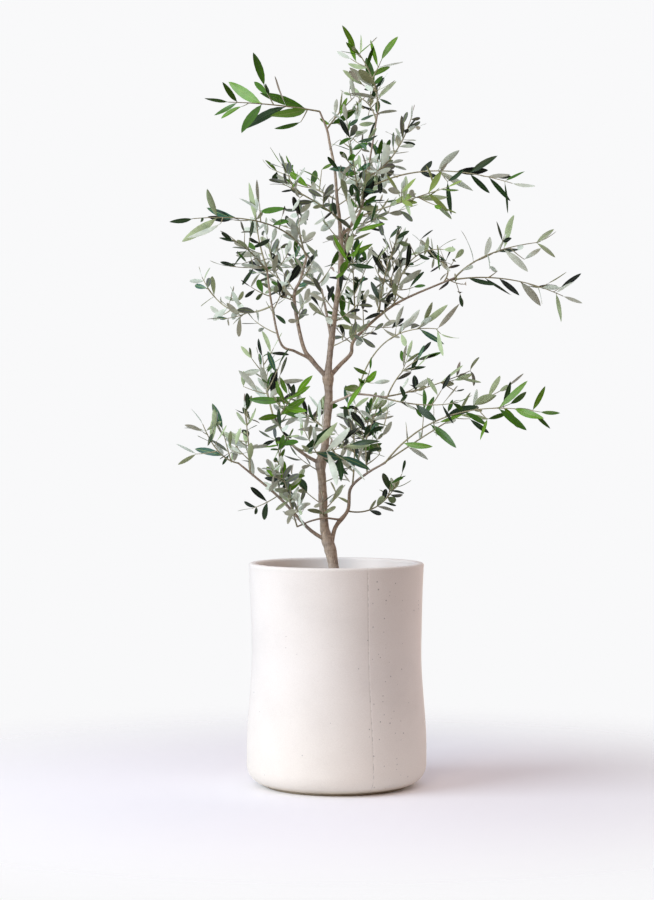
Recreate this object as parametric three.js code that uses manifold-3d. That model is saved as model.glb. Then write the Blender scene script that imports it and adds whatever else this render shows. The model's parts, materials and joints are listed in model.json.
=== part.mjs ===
// Potted olive: a young tree with a slender, slightly leaning trunk in a waisted cement pot.
// Millimetres, +Z up, front towards -Y. The origin is the middle of the pot's flat underside.
// The trunk and each bough are one tapering limb. Each spray of foliage grows by one seeded rule:
// a stem, side twigs that branch off it, and leaves in crossed pairs along both.

import * as THREE from "three";
import { mergeVertices } from "three/addons/utils/BufferGeometryUtils.js";
import Module from "manifold-3d";

// Pot: a tall cylinder drawn in at the waist, on a low foot, with a softly rounded lip
const POT_HEIGHT = 372;
const RIM_RADIUS = 146;
const WAIST_RADIUS = 141.5;
const WAIST_HEIGHT = 225;
const BULGE_RADIUS = 150;
const BULGE_HEIGHT = 60;
const FOOT_RADIUS = 118;
const FOOT_HEIGHT = 4;
const HEEL_RADIUS = 33; // the round turn from the foot up into the side
const LIP_RADIUS = 4;
const POT_WALL = 13;
const POT_FLOOR = 24;
const POT_SIDES = 32;
const SOIL_BELOW_RIM = 35;
const SOIL_HEIGHT = POT_HEIGHT - SOIL_BELOW_RIM;

const CLEAR = 0.3; // gap between pieces that touch

// Trunk: [x, z, radius] up its middle line, from the flat cut on the soil to its tip
const TRUNK_FOOT = SOIL_HEIGHT + CLEAR;
const TRUNK_LINE = [
  [-3, TRUNK_FOOT, 14],
  [-3, 349, 10],
  [-5, 366, 8.6],
  [-10, 393, 9],
  [-17, 416, 8.8],
  [-21, 443, 7],
  [-24, 510, 6.8],
  [-27, 538, 7.6],
  [-20, 562, 6.4],
  [-17, 593, 6.3],
  [-13, 643, 6.4],
  [-14, 680, 7.4],
  [-12, 710, 5.1],
  [-4, 777, 4.6],
  [5, 843, 4.2],
  [8, 893, 3.8],
  [5, 943, 3.1],
  [1, 977, 2.6],
  [-3, 1027, 2.3],
  [-11, 1068, 2.1],
  [-16, 1093, 1.9],
  [-28, 1123, 1.5],
];

// Boughs: each leaves another limb at a share of that limb's length and runs through a few bends
const BOUGHS = [
  { name: "low_left_bough", on: "trunk", at: 0.09, thick: 3.5, thin: 1.6,
    bends: [[-47, -8, 430], [-97, -30, 484], [-161, -70, 540]] },
  { name: "low_right_bough", on: "trunk", at: 0.07, thick: 3.9, thin: 1.6,
    bends: [[-2, 9, 430], [19, 20, 459], [24, 20, 496], [51, 8, 521], [81, -10, 539]] },
  { name: "low_front_bough", on: "low_right_bough", at: 0.29, thick: 1.8, thin: 1.3,
    bends: [[-19, -15, 447], [-42, -26, 443], [-65, -38, 434]] },
  { name: "middle_left_bough", on: "trunk", at: 0.255, thick: 3.3, thin: 1.5,
    bends: [[-52, -12, 552], [-77, -28, 574], [-105, -48, 619]] },
  { name: "middle_right_bough", on: "trunk", at: 0.38, thick: 2.3, thin: 1.5,
    bends: [[9, -22, 645], [32, -40, 653], [83, -78, 648]] },
  { name: "fork_left_bough", on: "trunk", at: 0.435, thick: 4.2, thin: 1.8,
    bends: [[-39, -10, 707], [-56, -18, 735], [-70, -28, 811], [-60, -24, 842], [-49, -18, 882]] },
  { name: "far_left_bough", on: "fork_left_bough", at: 0.2, thick: 2.5, thin: 1.5,
    bends: [[-69, -26, 724], [-92, -40, 737], [-106, -62, 798], [-114, -78, 859]] },
  { name: "fork_right_bough", on: "trunk", at: 0.435, thick: 4, thin: 1.5,
    bends: [[6, 12, 702], [24, 20, 721], [30, 26, 744], [72, 40, 785], [115, 34, 813], [198, 18, 848]] },
  { name: "leader_bough", on: "trunk", at: 0.735, thick: 2.7, thin: 1.3,
    bends: [[23, 14, 933], [38, 20, 955], [49, 26, 996], [56, 26, 1046], [69, 16, 1125]] },
  { name: "low_back_bough", on: "trunk", at: 0.18, thick: 2.9, thin: 1.5,
    bends: [[-21, 60, 525], [-8, 120, 575]] },
  { name: "middle_back_bough", on: "trunk", at: 0.515, thick: 2.7, thin: 1.5,
    bends: [[-18, 60, 795], [-25, 115, 832]] },
  { name: "high_back_bough", on: "trunk", at: 0.68, thick: 2.5, thin: 1.4,
    bends: [[19, 55, 922], [30, 100, 959]] },
];

// Sprays: each stem leaves its limb at a share of the limb's length, ends at its tip and bows aside
// midway. leaf is a full leaf's length, bare the share of the stem that carries no leaves.
const SPRAYS = [
  { name: "cantilever_spray", on: "trunk", at: 1, tip: [-176, -80, 1129],
    bow: [0, 0, 3], leaf: 78, bare: 0.35, twigs: 1, seed: 129 },
  { name: "top_twig_spray", on: "trunk", at: 0.96, tip: [36, 50, 1158],
    bow: [0, 0, 4], leaf: 46, bare: 0.1, twigs: 2, seed: 65 },
  { name: "upper_left_spray", on: "trunk", at: 0.81, tip: [-109, 75, 1034],
    bow: [0, 2, 2], leaf: 44, bare: 0.1, twigs: 4, seed: 108 },
  { name: "upper_left_low_spray", on: "trunk", at: 0.77, tip: [-88, -60, 998],
    bow: [9, 0, -2], leaf: 36, bare: 0.05, twigs: 5, seed: 98 },
  { name: "crown_tip_spray", on: "leader_bough", at: 1, tip: [32, -10, 1225],
    bow: [10, 0, 0], leaf: 54, bare: 0, twigs: 5, seed: 120 },
  { name: "crown_back_spray", on: "leader_bough", at: 0.93, tip: [26, 100, 1162],
    bow: [6, 0, 8], leaf: 40, bare: 0.05, twigs: 4, seed: 10 },
  { name: "grey_twig_spray", on: "leader_bough", at: 0.52, tip: [129, 105, 1129],
    bow: [6, 4, -15], leaf: 36, bare: 0.05, twigs: 4, seed: 19 },
  { name: "upper_right_long_spray", on: "leader_bough", at: 0.42, tip: [290, -30, 1001],
    bow: [-14, 0, 26], leaf: 56, bare: 0.3, twigs: 2, seed: 106 },
  { name: "upper_right_low_spray", on: "leader_bough", at: 0.21, tip: [179, -90, 989],
    bow: [0, -5, 0], leaf: 48, bare: 0.05, twigs: 5, seed: 27 },
  { name: "upper_inner_spray", on: "leader_bough", at: 0.27, tip: [17, -50, 1101],
    bow: [0, -6, 0], leaf: 40, bare: 0.05, twigs: 7, seed: 41 },
  { name: "long_left_spray", on: "fork_left_bough", at: 1, tip: [-231, -140, 935],
    bow: [28, 0, 22], leaf: 62, bare: 0.1, twigs: 5, seed: 33 },
  { name: "centre_left_spray", on: "fork_left_bough", at: 0.98, tip: [-65, 50, 971],
    bow: [-4, 4, 2], leaf: 36, bare: 0.05, twigs: 5, seed: 9 },
  { name: "centre_left_back_spray", on: "fork_left_bough", at: 0.66, tip: [-110, 85, 915],
    bow: [-14, 0, 0], leaf: 36, bare: 0.05, twigs: 6, seed: 77 },
  { name: "far_left_upper_spray", on: "far_left_bough", at: 1, tip: [-132, -60, 949],
    bow: [-4, 0, 2], leaf: 38, bare: 0, twigs: 4, seed: 135 },
  { name: "far_left_outer_spray", on: "far_left_bough", at: 0.97, tip: [-168, -140, 901],
    bow: [0, 0, 7], leaf: 44, bare: 0.05, twigs: 3, seed: 150 },
  { name: "pale_left_spray", on: "far_left_bough", at: 0.67, tip: [-226, 40, 850],
    bow: [-8, 0, -31], leaf: 36, bare: 0.1, twigs: 4, seed: 95 },
  { name: "centre_upright_spray", on: "fork_right_bough", at: 0.31, tip: [26, 80, 922],
    bow: [0, 4, -4], leaf: 38, bare: 0.05, twigs: 7, seed: 45 },
  { name: "centre_green_spray", on: "trunk", at: 0.63, tip: [52, -60, 952],
    bow: [-4, 0, 8], leaf: 58, bare: 0.1, twigs: 5, seed: 133 },
  { name: "right_upright_spray", on: "fork_right_bough", at: 0.5, tip: [112, -30, 938],
    bow: [-8, -5, 0], leaf: 50, bare: 0.05, twigs: 6, seed: 127 },
  { name: "right_outer_spray", on: "fork_right_bough", at: 0.61, tip: [174, -80, 889],
    bow: [-14, 0, 26], leaf: 46, bare: 0.05, twigs: 5, seed: 34 },
  { name: "right_back_spray", on: "fork_right_bough", at: 0.68, tip: [105, 120, 880],
    bow: [-16, 0, -8], leaf: 38, bare: 0.05, twigs: 5, seed: 127 },
  { name: "right_fork_upper_spray", on: "fork_right_bough", at: 1, tip: [341, -40, 904],
    bow: [-14, 0, 10], leaf: 52, bare: 0.05, twigs: 3, seed: 54 },
  { name: "right_fork_lower_spray", on: "fork_right_bough", at: 0.95, tip: [379, 20, 817],
    bow: [0, 0, 16], leaf: 56, bare: 0.05, twigs: 2, seed: 52 },
  { name: "right_fork_near_spray", on: "fork_right_bough", at: 0.93, tip: [176, 95, 890],
    bow: [10, 0, 0], leaf: 36, bare: 0.05, twigs: 2, seed: 15 },
  { name: "slender_right_spray", on: "middle_right_bough", at: 0.52, tip: [175, -140, 756],
    bow: [-21, -7, 36], leaf: 58, bare: 0.45, twigs: 2, seed: 47 },
  { name: "right_inner_spray", on: "middle_right_bough", at: 1, tip: [143, -80, 714],
    bow: [-6, 0, 8], leaf: 50, bare: 0.05, twigs: 3, seed: 75 },
  { name: "right_long_spray", on: "middle_right_bough", at: 0.95, tip: [230, -40, 696],
    bow: [0, 0, -6], leaf: 46, bare: 0.05, twigs: 3, seed: 80 },
  { name: "right_dark_spray", on: "middle_right_bough", at: 0.84, tip: [196, -140, 640],
    bow: [4, 0, -9], leaf: 46, bare: 0.05, twigs: 3, seed: 55 },
  { name: "centre_bright_spray", on: "middle_right_bough", at: 0.42, tip: [54, -130, 692],
    bow: [4, -4, -4], leaf: 52, bare: 0.05, twigs: 2, seed: 5 },
  { name: "centre_dark_spray", on: "low_right_bough", at: 0.8, tip: [60, 55, 635],
    bow: [-6, 0, 0], leaf: 40, bare: 0.05, twigs: 6, seed: 45 },
  { name: "low_right_long_spray", on: "low_right_bough", at: 1, tip: [330, -110, 624],
    bow: [-20, 0, 36], leaf: 54, bare: 0.15, twigs: 4, seed: 4 },
  { name: "low_right_upper_spray", on: "low_right_bough", at: 0.94, tip: [283, 30, 663],
    bow: [8, 0, 9], leaf: 50, bare: 0.15, twigs: 3, seed: 29 },
  { name: "low_right_back_spray", on: "low_right_bough", at: 0.62, tip: [26, 85, 618],
    bow: [4, 0, 0], leaf: 38, bare: 0.05, twigs: 5, seed: 93 },
  { name: "low_right_small_spray", on: "low_right_bough", at: 0.39, tip: [110, 50, 518],
    bow: [6, 5, -22], leaf: 32, bare: 0.3, twigs: 2, seed: 28 },
  { name: "low_left_tip_spray", on: "low_left_bough", at: 1, tip: [-217, -110, 604],
    bow: [-3, 0, -13], leaf: 54, bare: 0, twigs: 3, seed: 94 },
  { name: "low_left_upright_spray", on: "low_left_bough", at: 0.87, tip: [-154, 0, 630],
    bow: [2, 0, 0], leaf: 40, bare: 0.05, twigs: 5, seed: 122 },
  { name: "low_left_inner_spray", on: "low_left_bough", at: 0.52, tip: [-83, -75, 591],
    bow: [-8, 0, 0], leaf: 40, bare: 0.05, twigs: 6, seed: 52 },
  { name: "low_front_spray", on: "low_front_bough", at: 1, tip: [-89, -100, 530],
    bow: [0, 0, -3], leaf: 36, bare: 0, twigs: 3, seed: 26 },
  { name: "left_inner_spray", on: "middle_left_bough", at: 1, tip: [-123, -30, 726],
    bow: [-2, 0, -4], leaf: 48, bare: 0, twigs: 6, seed: 134 },
  { name: "left_bright_spray", on: "middle_left_bough", at: 0.8, tip: [-65, -130, 653],
    bow: [-11, -4, -4], leaf: 58, bare: 0.05, twigs: 3, seed: 40 },
  { name: "front_spray", on: "middle_left_bough", at: 0.54, tip: [22, -120, 571],
    bow: [-12, -6, -14], leaf: 64, bare: 0.25, twigs: 2, seed: 46 },
  { name: "low_back_left_spray", on: "low_back_bough", at: 1, tip: [-82, 215, 634],
    bow: [8, 0, 4], leaf: 46, bare: 0, twigs: 5, seed: 27 },
  { name: "low_back_right_spray", on: "low_back_bough", at: 0.92, tip: [76, 205, 622],
    bow: [-7, 0, 2], leaf: 46, bare: 0, twigs: 5, seed: 13 },
  { name: "middle_back_spray", on: "middle_back_bough", at: 1, tip: [-99, 200, 884],
    bow: [7, 0, 2], leaf: 44, bare: 0, twigs: 5, seed: 110 },
  { name: "high_back_spray", on: "high_back_bough", at: 1, tip: [84, 160, 1076],
    bow: [0, 5, -4], leaf: 38, bare: 0, twigs: 6, seed: 8 },
];

// Growth of a spray
const STEM_PIECES = 6;
const STEM_RADIUS = 1.6;
const TWIG_RADIUS = 1.3;
const TWIG_TIP_RADIUS = 0.9;
const TWIG_REACH = 66; // the longest side twig
const PAIR_GAP = 0.52; // between two pairs of leaves, of a leaf's length
const LEAF_LOSS = 0.1; // the share of leaves that have dropped
const LEAF_WIDTH = 0.27; // of the leaf's length
const LEAF_THICKNESS = 0.03; // of the leaf's length
const LEAF_ROOT = 0.3; // how far past its twig's middle a leaf's foot is sunk
const SPACE_MARGIN = 1.2; // how much nearer to its own stem than to any other a leaf keeps
const LIMB_MARGIN = 1; // how far a leaf or twig keeps from a limb's bark
const SOLID_SHARE = 3; // the solids carry one leaf in three
const SOLID_TWIGS = 3; // and leave out one side twig in three
const SOLID_LEAF = 1.2; // and make each leaf this much larger

const UP = new THREE.Vector3(0, 0, 1);
const GOLDEN_ANGLE = 2.39996;

const wasm = await Module();
wasm.setup();

// A repeatable share between 0 and 1 for one question about one place on one spray.
function chance(seed, place, question) {
  let h = Math.imul(seed + 1013, 0x9e3779b1) ^ Math.imul(place * 16 + question + 1, 0x85ebca6b);
  h = Math.imul(h ^ (h >>> 15), 0x2c1b3c6d);
  h = Math.imul(h ^ (h >>> 12), 0x297a2d39);
  return ((h ^ (h >>> 15)) >>> 0) / 2 ** 32;
}

const mix = (a, b, t) => a + (b - a) * t;
const vector = ([x, y, z]) => new THREE.Vector3(x, y, z);

// A limb's middle line with its radius at each bend, and the same line as short straight pieces.
function makeLimb(points, radii) {
  const curve = new THREE.CatmullRomCurve3(points, false, "catmullrom", 0.5);
  const radiusAt = (share) => {
    const t = curve.getUtoTmapping(share) * (radii.length - 1);
    const i = Math.min(Math.floor(t), radii.length - 2);
    return mix(radii[i], radii[i + 1], t - i);
  };
  const steps = 2 * (points.length - 1);
  const line = curve.getSpacedPoints(steps);
  return { curve, radiusAt, steps, line };
}

// Nearest place to a point on a line of short straight pieces: its distance and share of the line.
const piece = new THREE.Line3();
const nearestPoint = new THREE.Vector3();
function nearest(line, point) {
  let distance = Infinity;
  let share = 0;
  for (let i = 0; i + 1 < line.length; i++) {
    piece.set(line[i], line[i + 1]);
    piece.closestPointToPoint(point, true, nearestPoint);
    const d = nearestPoint.distanceTo(point);
    if (d < distance) {
      distance = d;
      share = (i + piece.closestPointToPointParameter(point, true)) / (line.length - 1);
    }
  }
  return { distance, share };
}

// Bends a unit cylinder, which stands along its y axis, so that it follows a curve.
function bentAlong(curve, radiusAt, sides, steps) {
  const shape = new THREE.CylinderGeometry(1, 1, 1, sides, steps);
  const frames = curve.computeFrenetFrames(steps, false);
  const at = shape.attributes.position;
  const place = new THREE.Vector3();
  for (let i = 0; i < at.count; i++) {
    const row = Math.round((at.getY(i) + 0.5) * steps);
    const share = row / steps;
    const across = Math.hypot(at.getX(i), at.getZ(i));
    const scale = across > 1e-6 ? radiusAt(share) / across : 0;
    place.copy(curve.getPointAt(share));
    place.addScaledVector(frames.normals[row], at.getX(i) * scale);
    place.addScaledVector(frames.binormals[row], -at.getZ(i) * scale);
    at.setXYZ(i, place.x, place.y, place.z);
  }
  return shape;
}

// A closed geometry as a solid, and a solid as a geometry.
function solidOf(geometry) {
  geometry.deleteAttribute("normal");
  geometry.deleteAttribute("uv");
  const merged = mergeVertices(geometry, 1e-4);
  return new wasm.Manifold(
    new wasm.Mesh({
      numProp: 3,
      vertProperties: new Float32Array(merged.attributes.position.array),
      triVerts: new Uint32Array(merged.index.array),
    }),
  );
}

function geometryOf(solid) {
  const mesh = solid.getMesh();
  const geometry = new THREE.BufferGeometry();
  geometry.setAttribute("position", new THREE.BufferAttribute(mesh.vertProperties, 3));
  geometry.setIndex(new THREE.BufferAttribute(mesh.triVerts, 1));
  geometry.computeVertexNormals();
  return geometry;
}

// The largest body of a solid, which leaves out loose scraps and sealed hollows.
function largestBody(solid) {
  return solid.decompose().reduce((a, b) => (b.volume() > a.volume() ? b : a));
}

// The pot's outer wall, from the foot to the lip, as [radius, height]
function outerRadius(height) {
  if (height > WAIST_HEIGHT) {
    const t = (height - WAIST_HEIGHT) / (POT_HEIGHT - WAIST_HEIGHT);
    return mix(WAIST_RADIUS, RIM_RADIUS, t ** 1.6);
  }
  const t = Math.max(0, (height - BULGE_HEIGHT) / (WAIST_HEIGHT - BULGE_HEIGHT));
  return mix(BULGE_RADIUS, WAIST_RADIUS, (1 - Math.cos(Math.PI * t)) / 2);
}

function arc(radius, middle, from, to, steps) {
  return Array.from({ length: steps + 1 }, (_, i) => {
    const angle = THREE.MathUtils.degToRad(mix(from, to, i / steps));
    return new THREE.Vector2(middle[0] + radius * Math.cos(angle), middle[1] + radius * Math.sin(angle));
  });
}

function wallHeights(from, to, steps) {
  return Array.from({ length: steps + 1 }, (_, i) => mix(from, to, i / steps));
}

function potProfile() {
  const heelMiddle = [BULGE_RADIUS - HEEL_RADIUS, FOOT_HEIGHT + HEEL_RADIUS];
  const outside = wallHeights(BULGE_HEIGHT, POT_HEIGHT - LIP_RADIUS, 6)
    .map((z) => new THREE.Vector2(outerRadius(z), z));
  const lipOuter = [RIM_RADIUS - LIP_RADIUS, POT_HEIGHT - LIP_RADIUS];
  const lipInner = [RIM_RADIUS - POT_WALL + LIP_RADIUS, POT_HEIGHT - LIP_RADIUS];
  const underLip = new THREE.Vector2(RIM_RADIUS - POT_WALL - 0.2, POT_HEIGHT - 2.5 * LIP_RADIUS);
  return [
    new THREE.Vector2(0, 0),
    new THREE.Vector2(FOOT_RADIUS, 0),
    ...arc(HEEL_RADIUS, heelMiddle, -86, 0, 3),
    ...outside,
    ...arc(LIP_RADIUS, lipOuter, 30, 90, 2),
    ...arc(LIP_RADIUS, lipInner, 90, 150, 2),
    underLip,
    ...innerWall(0).reverse(),
  ];
}

// The hollow of the pot from its floor up to the soil's level, drawn in all round by a clearance
function innerWall(clearance) {
  const cornerMiddle = [BULGE_RADIUS - POT_WALL - HEEL_RADIUS, POT_FLOOR + HEEL_RADIUS];
  const corner = arc(HEEL_RADIUS - clearance, cornerMiddle, -90, -30, 2);
  const side = wallHeights(POT_FLOOR + HEEL_RADIUS, SOIL_HEIGHT, 3)
    .map((z) => new THREE.Vector2(outerRadius(z) - POT_WALL - clearance, z));
  return [new THREE.Vector2(0, corner[0].y), ...corner, ...side];
}

// Potting soil that fills the hollow up to its level
function soilProfile() {
  return [...innerWall(CLEAR), new THREE.Vector2(0, SOIL_HEIGHT)];
}

function turned(profile) {
  return new THREE.LatheGeometry(profile, POT_SIDES).rotateX(Math.PI / 2);
}

// Limbs by name, in the order in which they grow
const limbs = new Map();
limbs.set("trunk", makeLimb(
  TRUNK_LINE.map(([x, z]) => new THREE.Vector3(x, 0, z)),
  TRUNK_LINE.map(([, , radius]) => radius),
));
for (const { name, on, at, thick, thin, bends } of BOUGHS) {
  const points = [limbs.get(on).curve.getPointAt(at), ...bends.map(vector)];
  const radii = points.map((_, i) => mix(thick, thin, i / (points.length - 1)));
  limbs.set(name, makeLimb(points, radii));
}

// A limb as a solid, grown by a clearance on all sides when it serves to cut another piece.
function limbSolid(name, clearance = 0) {
  const { curve, radiusAt, steps } = limbs.get(name);
  const sides = name === "trunk" ? 8 : 6;
  const shape = bentAlong(curve, (share) => radiusAt(share) + clearance, sides, steps);
  const at = shape.attributes.position;
  if (name === "trunk") {
    for (let i = 0; i < at.count; i++) {
      if (at.getZ(i) < TRUNK_FOOT + 1) at.setZ(i, TRUNK_FOOT);
    }
  }
  return solidOf(shape);
}

// A point on a line of straight pieces of one length, at a share of the way along it
function pointOn(line, share) {
  const t = share * (line.length - 1);
  const i = Math.min(Math.floor(t), line.length - 2);
  return line[i].clone().lerp(line[i + 1], t - i);
}

// Each spray's stem, as a curve and as a line of straight pieces
const stems = SPRAYS.map(({ on, at, tip, bow }) => {
  const root = limbs.get(on).curve.getPointAt(at);
  const end = vector(tip);
  const bend = root.clone().lerp(end, 0.5).addScaledVector(vector(bow), 2);
  const curve = new THREE.QuadraticBezierCurve3(root, bend, end);
  return { curve, line: curve.getSpacedPoints(STEM_PIECES) };
});

// Whether a point is clear of every limb, and nearer to its own spray's stem than to any other's.
function inOwnSpace(point, own) {
  for (const { line, radiusAt } of limbs.values()) {
    const { distance, share } = nearest(line, point);
    if (distance < radiusAt(share) + LIMB_MARGIN) return false;
  }
  const reach = nearest(stems[own].line, point).distance + SPACE_MARGIN;
  return stems.every(({ line }, i) => i === own || nearest(line, point).distance > reach);
}

// A direction that leans away from an axis by an angle, on the side that turn picks.
function leaning(axis, angle, turn) {
  const side = new THREE.Vector3().crossVectors(axis, UP);
  if (side.lengthSq() < 0.01) side.set(1, 0, 0);
  side.normalize().applyAxisAngle(axis, turn);
  return axis.clone().multiplyScalar(Math.cos(angle)).addScaledVector(side, Math.sin(angle));
}

// Side twigs of a spray, each turned on until it finds room
function sideTwigs({ twigs, bare, seed }, own) {
  const { curve, line } = stems[own];
  const found = [];
  for (let k = 0; k < twigs; k++) {
    const share = mix(Math.max(bare, 0.12), 0.86, (k + chance(seed, k, 0)) / twigs);
    const root = pointOn(line, share);
    const axis = curve.getTangentAt(share);
    const angle = mix(0.65, 1.05, chance(seed, k, 1));
    const length = TWIG_REACH * mix(1, 0.5, share) * mix(0.65, 1, chance(seed, k, 2));
    for (let go = 0; go < 4; go++) {
      const turn = GOLDEN_ANGLE * (k + 4 * chance(seed, 40, 0)) + go * 1.7;
      const end = root.clone().addScaledVector(leaning(axis, angle, turn), length);
      const points = [0.4, 0.7, 1].map((t) => root.clone().lerp(end, t));
      if (points.every((point) => inOwnSpace(point, own))) {
        found.push({ curve: new THREE.LineCurve3(root, end), line: [root, end], number: k + 1, bare: 0.18 });
        break;
      }
    }
  }
  return found;
}

// Leaves along a stem or twig: one at its end, then crossed pairs back towards its foot
function leavesAlong({ curve, line, number, bare }, { seed, leaf }) {
  const place = 64 * number;
  const length = curve.getLength();
  const gap = PAIR_GAP * leaf;
  const leaves = [];
  let back = 0;
  for (let pair = 0; length - back > Math.max(bare * length, 6); pair++) {
    const share = 1 - back / length;
    const root = pointOn(line, share);
    const axis = curve.getTangentAt(share);
    const turn = pair * (Math.PI / 2) + 6 * chance(seed, place, 3);
    for (let side = 0; side < (pair === 0 ? 1 : 2); side++) {
      const spot = place + 2 * pair + side;
      const angle = pair === 0 ? 0.15 : mix(0.55, 1.3, chance(seed, spot, 4));
      const across = turn + side * Math.PI + mix(-0.35, 0.35, chance(seed, spot, 5));
      const along = leaning(axis, angle, across);
      const size = leaf * mix(0.75, 1, Math.min(1, back / leaf)) * mix(0.72, 1.15, chance(seed, spot, 6));
      const tip = root.clone().addScaledVector(along, size);
      const face = axis.clone().multiplyScalar(0.6).addScaledVector(UP, 0.5);
      face.addScaledVector(leaning(along, Math.PI / 2, 6.3 * chance(seed, spot, 7)), 0.9);
      face.addScaledVector(along, -face.dot(along)).normalize();
      const dropped = chance(seed, spot, 9) < LEAF_LOSS;
      if (!dropped) leaves.push({ root, along, tip, face, size, pair, side });
    }
    back += pair === 0 ? 0.45 * gap : gap * mix(0.8, 1.25, chance(seed, place + 2 * pair, 8));
  }
  return leaves;
}

// A leaf: six faces about its widest place, pointed at both ends, with a ridge along its upper side
function leafSolid({ root, along, face, size }) {
  const long = size * SOLID_LEAF;
  const side = new THREE.Vector3().crossVectors(along, face);
  const foot = root.clone().addScaledVector(along, -LEAF_ROOT);
  const widest = root.clone().addScaledVector(along, 0.52 * long).addScaledVector(face, 0.03 * long);
  const tip = root.clone().addScaledVector(along, long);
  const shape = new THREE.SphereGeometry(1, 3, 2);
  const at = shape.attributes.position;
  for (let i = 0; i < at.count; i++) {
    const place = at.getY(i) > 0.5 ? tip.clone() : at.getY(i) < -0.5 ? foot.clone() : widest.clone();
    place.addScaledVector(side, (at.getZ(i) / Math.sin(Math.PI / 3)) * (LEAF_WIDTH / 2) * long);
    place.addScaledVector(face, -at.getX(i) * (2 / 3) * LEAF_THICKNESS * size);
    at.setXYZ(i, place.x, place.y, place.z);
  }
  return solidOf(shape);
}

// Whether a leaf keeps to its spray's own space
function leafFits({ root, along, tip, face, size }, own) {
  const side = new THREE.Vector3().crossVectors(along, face);
  side.multiplyScalar((LEAF_WIDTH / 2) * SOLID_LEAF * size);
  const points = [
    root.clone().addScaledVector(along, SOLID_LEAF * size),
    root.clone().addScaledVector(along, 0.25 * size),
    root.clone().lerp(tip, 0.55).add(side),
    root.clone().lerp(tip, 0.55).sub(side),
    root.clone().lerp(tip, 0.8),
  ];
  return points.every((point) => inOwnSpace(point, own));
}

// One spray: its stem, side twigs and leaves joined into one solid
function spraySolid(spray, own) {
  const stem = { ...stems[own], number: 0, bare: spray.bare };
  const twigs = sideTwigs(spray, own).filter(({ number }) => number % SOLID_TWIGS !== 0);
  const axes = [stem, ...twigs];
  const pieces = axes.map((axis) => {
    const thick = axis === stem ? STEM_RADIUS : TWIG_RADIUS;
    const radiusAt = (share) => mix(thick, TWIG_TIP_RADIUS, share);
    return solidOf(bentAlong(axis.curve, radiusAt, 3, axis.line.length - 1));
  });
  for (const axis of axes) {
    for (const leaf of leavesAlong(axis, spray)) {
      if ((leaf.pair + leaf.side) % SOLID_SHARE === 0 && leafFits(leaf, own)) pieces.push(leafSolid(leaf));
    }
  }
  return wasm.Manifold.union(pieces);
}

// Cuts a solid clear of the limbs that it starts from or passes.
function clearOf(solid, names) {
  for (const name of names) solid = solid.subtract(limbSolid(name, CLEAR));
  return largestBody(solid);
}

function matt(name, color, roughness) {
  return new THREE.MeshStandardMaterial({ name, color, roughness, metalness: 0 });
}

const cement = matt("cement", 0xe9e4df, 0.85);
const compost = matt("compost", 0x3a2c22, 1);
const bark = matt("bark", 0x96877a, 0.9);
const foliage = matt("foliage", 0x6f8a55, 0.6);

function addMesh(group, name, geometry, material) {
  const mesh = new THREE.Mesh(geometry, material);
  mesh.name = name;
  group.add(mesh);
}

const pottedOlive = new THREE.Group();

const planter = new THREE.Group();
addMesh(planter, "pot", turned(potProfile()), cement);
addMesh(planter, "soil", turned(soilProfile()), compost);
pottedOlive.add(planter);

const tree = new THREE.Group();
const grown = [];
for (const name of limbs.keys()) {
  const solid = name === "trunk" ? limbSolid(name) : clearOf(limbSolid(name), grown);
  addMesh(tree, name, geometryOf(solid), bark);
  grown.push(name);
}
SPRAYS.forEach((spray, own) => {
  addMesh(tree, spray.name, geometryOf(clearOf(spraySolid(spray, own), grown)), foliage);
});
pottedOlive.add(tree);

export default pottedOlive;
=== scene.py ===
# Potted olive: a young tree with a slender, slightly leaning trunk in a waisted cement planter.
# Laid out as an add-on and run as a script. Tables of the tree are in millimetres, as it was
# measured; settings and meshes are in metres. +Z is up and the front is towards -Y.

import json
import math
from functools import partial

import bpy
import numpy as np
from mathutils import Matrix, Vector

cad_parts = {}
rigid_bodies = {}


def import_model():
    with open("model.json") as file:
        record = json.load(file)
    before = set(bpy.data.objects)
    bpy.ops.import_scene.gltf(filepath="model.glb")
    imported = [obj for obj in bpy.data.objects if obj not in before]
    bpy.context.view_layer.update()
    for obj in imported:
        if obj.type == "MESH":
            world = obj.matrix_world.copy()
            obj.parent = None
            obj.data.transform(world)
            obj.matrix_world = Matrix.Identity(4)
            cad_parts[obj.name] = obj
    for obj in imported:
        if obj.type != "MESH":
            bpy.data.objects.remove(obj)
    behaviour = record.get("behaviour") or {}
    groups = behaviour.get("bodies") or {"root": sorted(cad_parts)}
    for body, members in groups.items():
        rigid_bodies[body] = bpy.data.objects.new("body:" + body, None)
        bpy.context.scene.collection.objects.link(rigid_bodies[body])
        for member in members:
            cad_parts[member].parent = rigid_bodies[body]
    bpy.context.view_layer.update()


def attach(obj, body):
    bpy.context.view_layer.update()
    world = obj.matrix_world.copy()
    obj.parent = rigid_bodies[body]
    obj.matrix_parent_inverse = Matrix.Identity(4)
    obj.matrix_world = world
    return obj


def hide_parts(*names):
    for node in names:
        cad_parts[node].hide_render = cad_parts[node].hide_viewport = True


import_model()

bl_info = {
    "name": "Potted olive",
    "version": (1, 0, 0),
    "blender": (4, 5, 0),
    "location": "View3D > Sidebar > Potted olive",
    "description": "Builds a young olive tree in a waisted cement planter",
    "category": "Object",
}

MM = 0.001
UP = np.array([0.0, 0.0, 1.0])
GOLDEN_ANGLE = 2.39996

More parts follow.
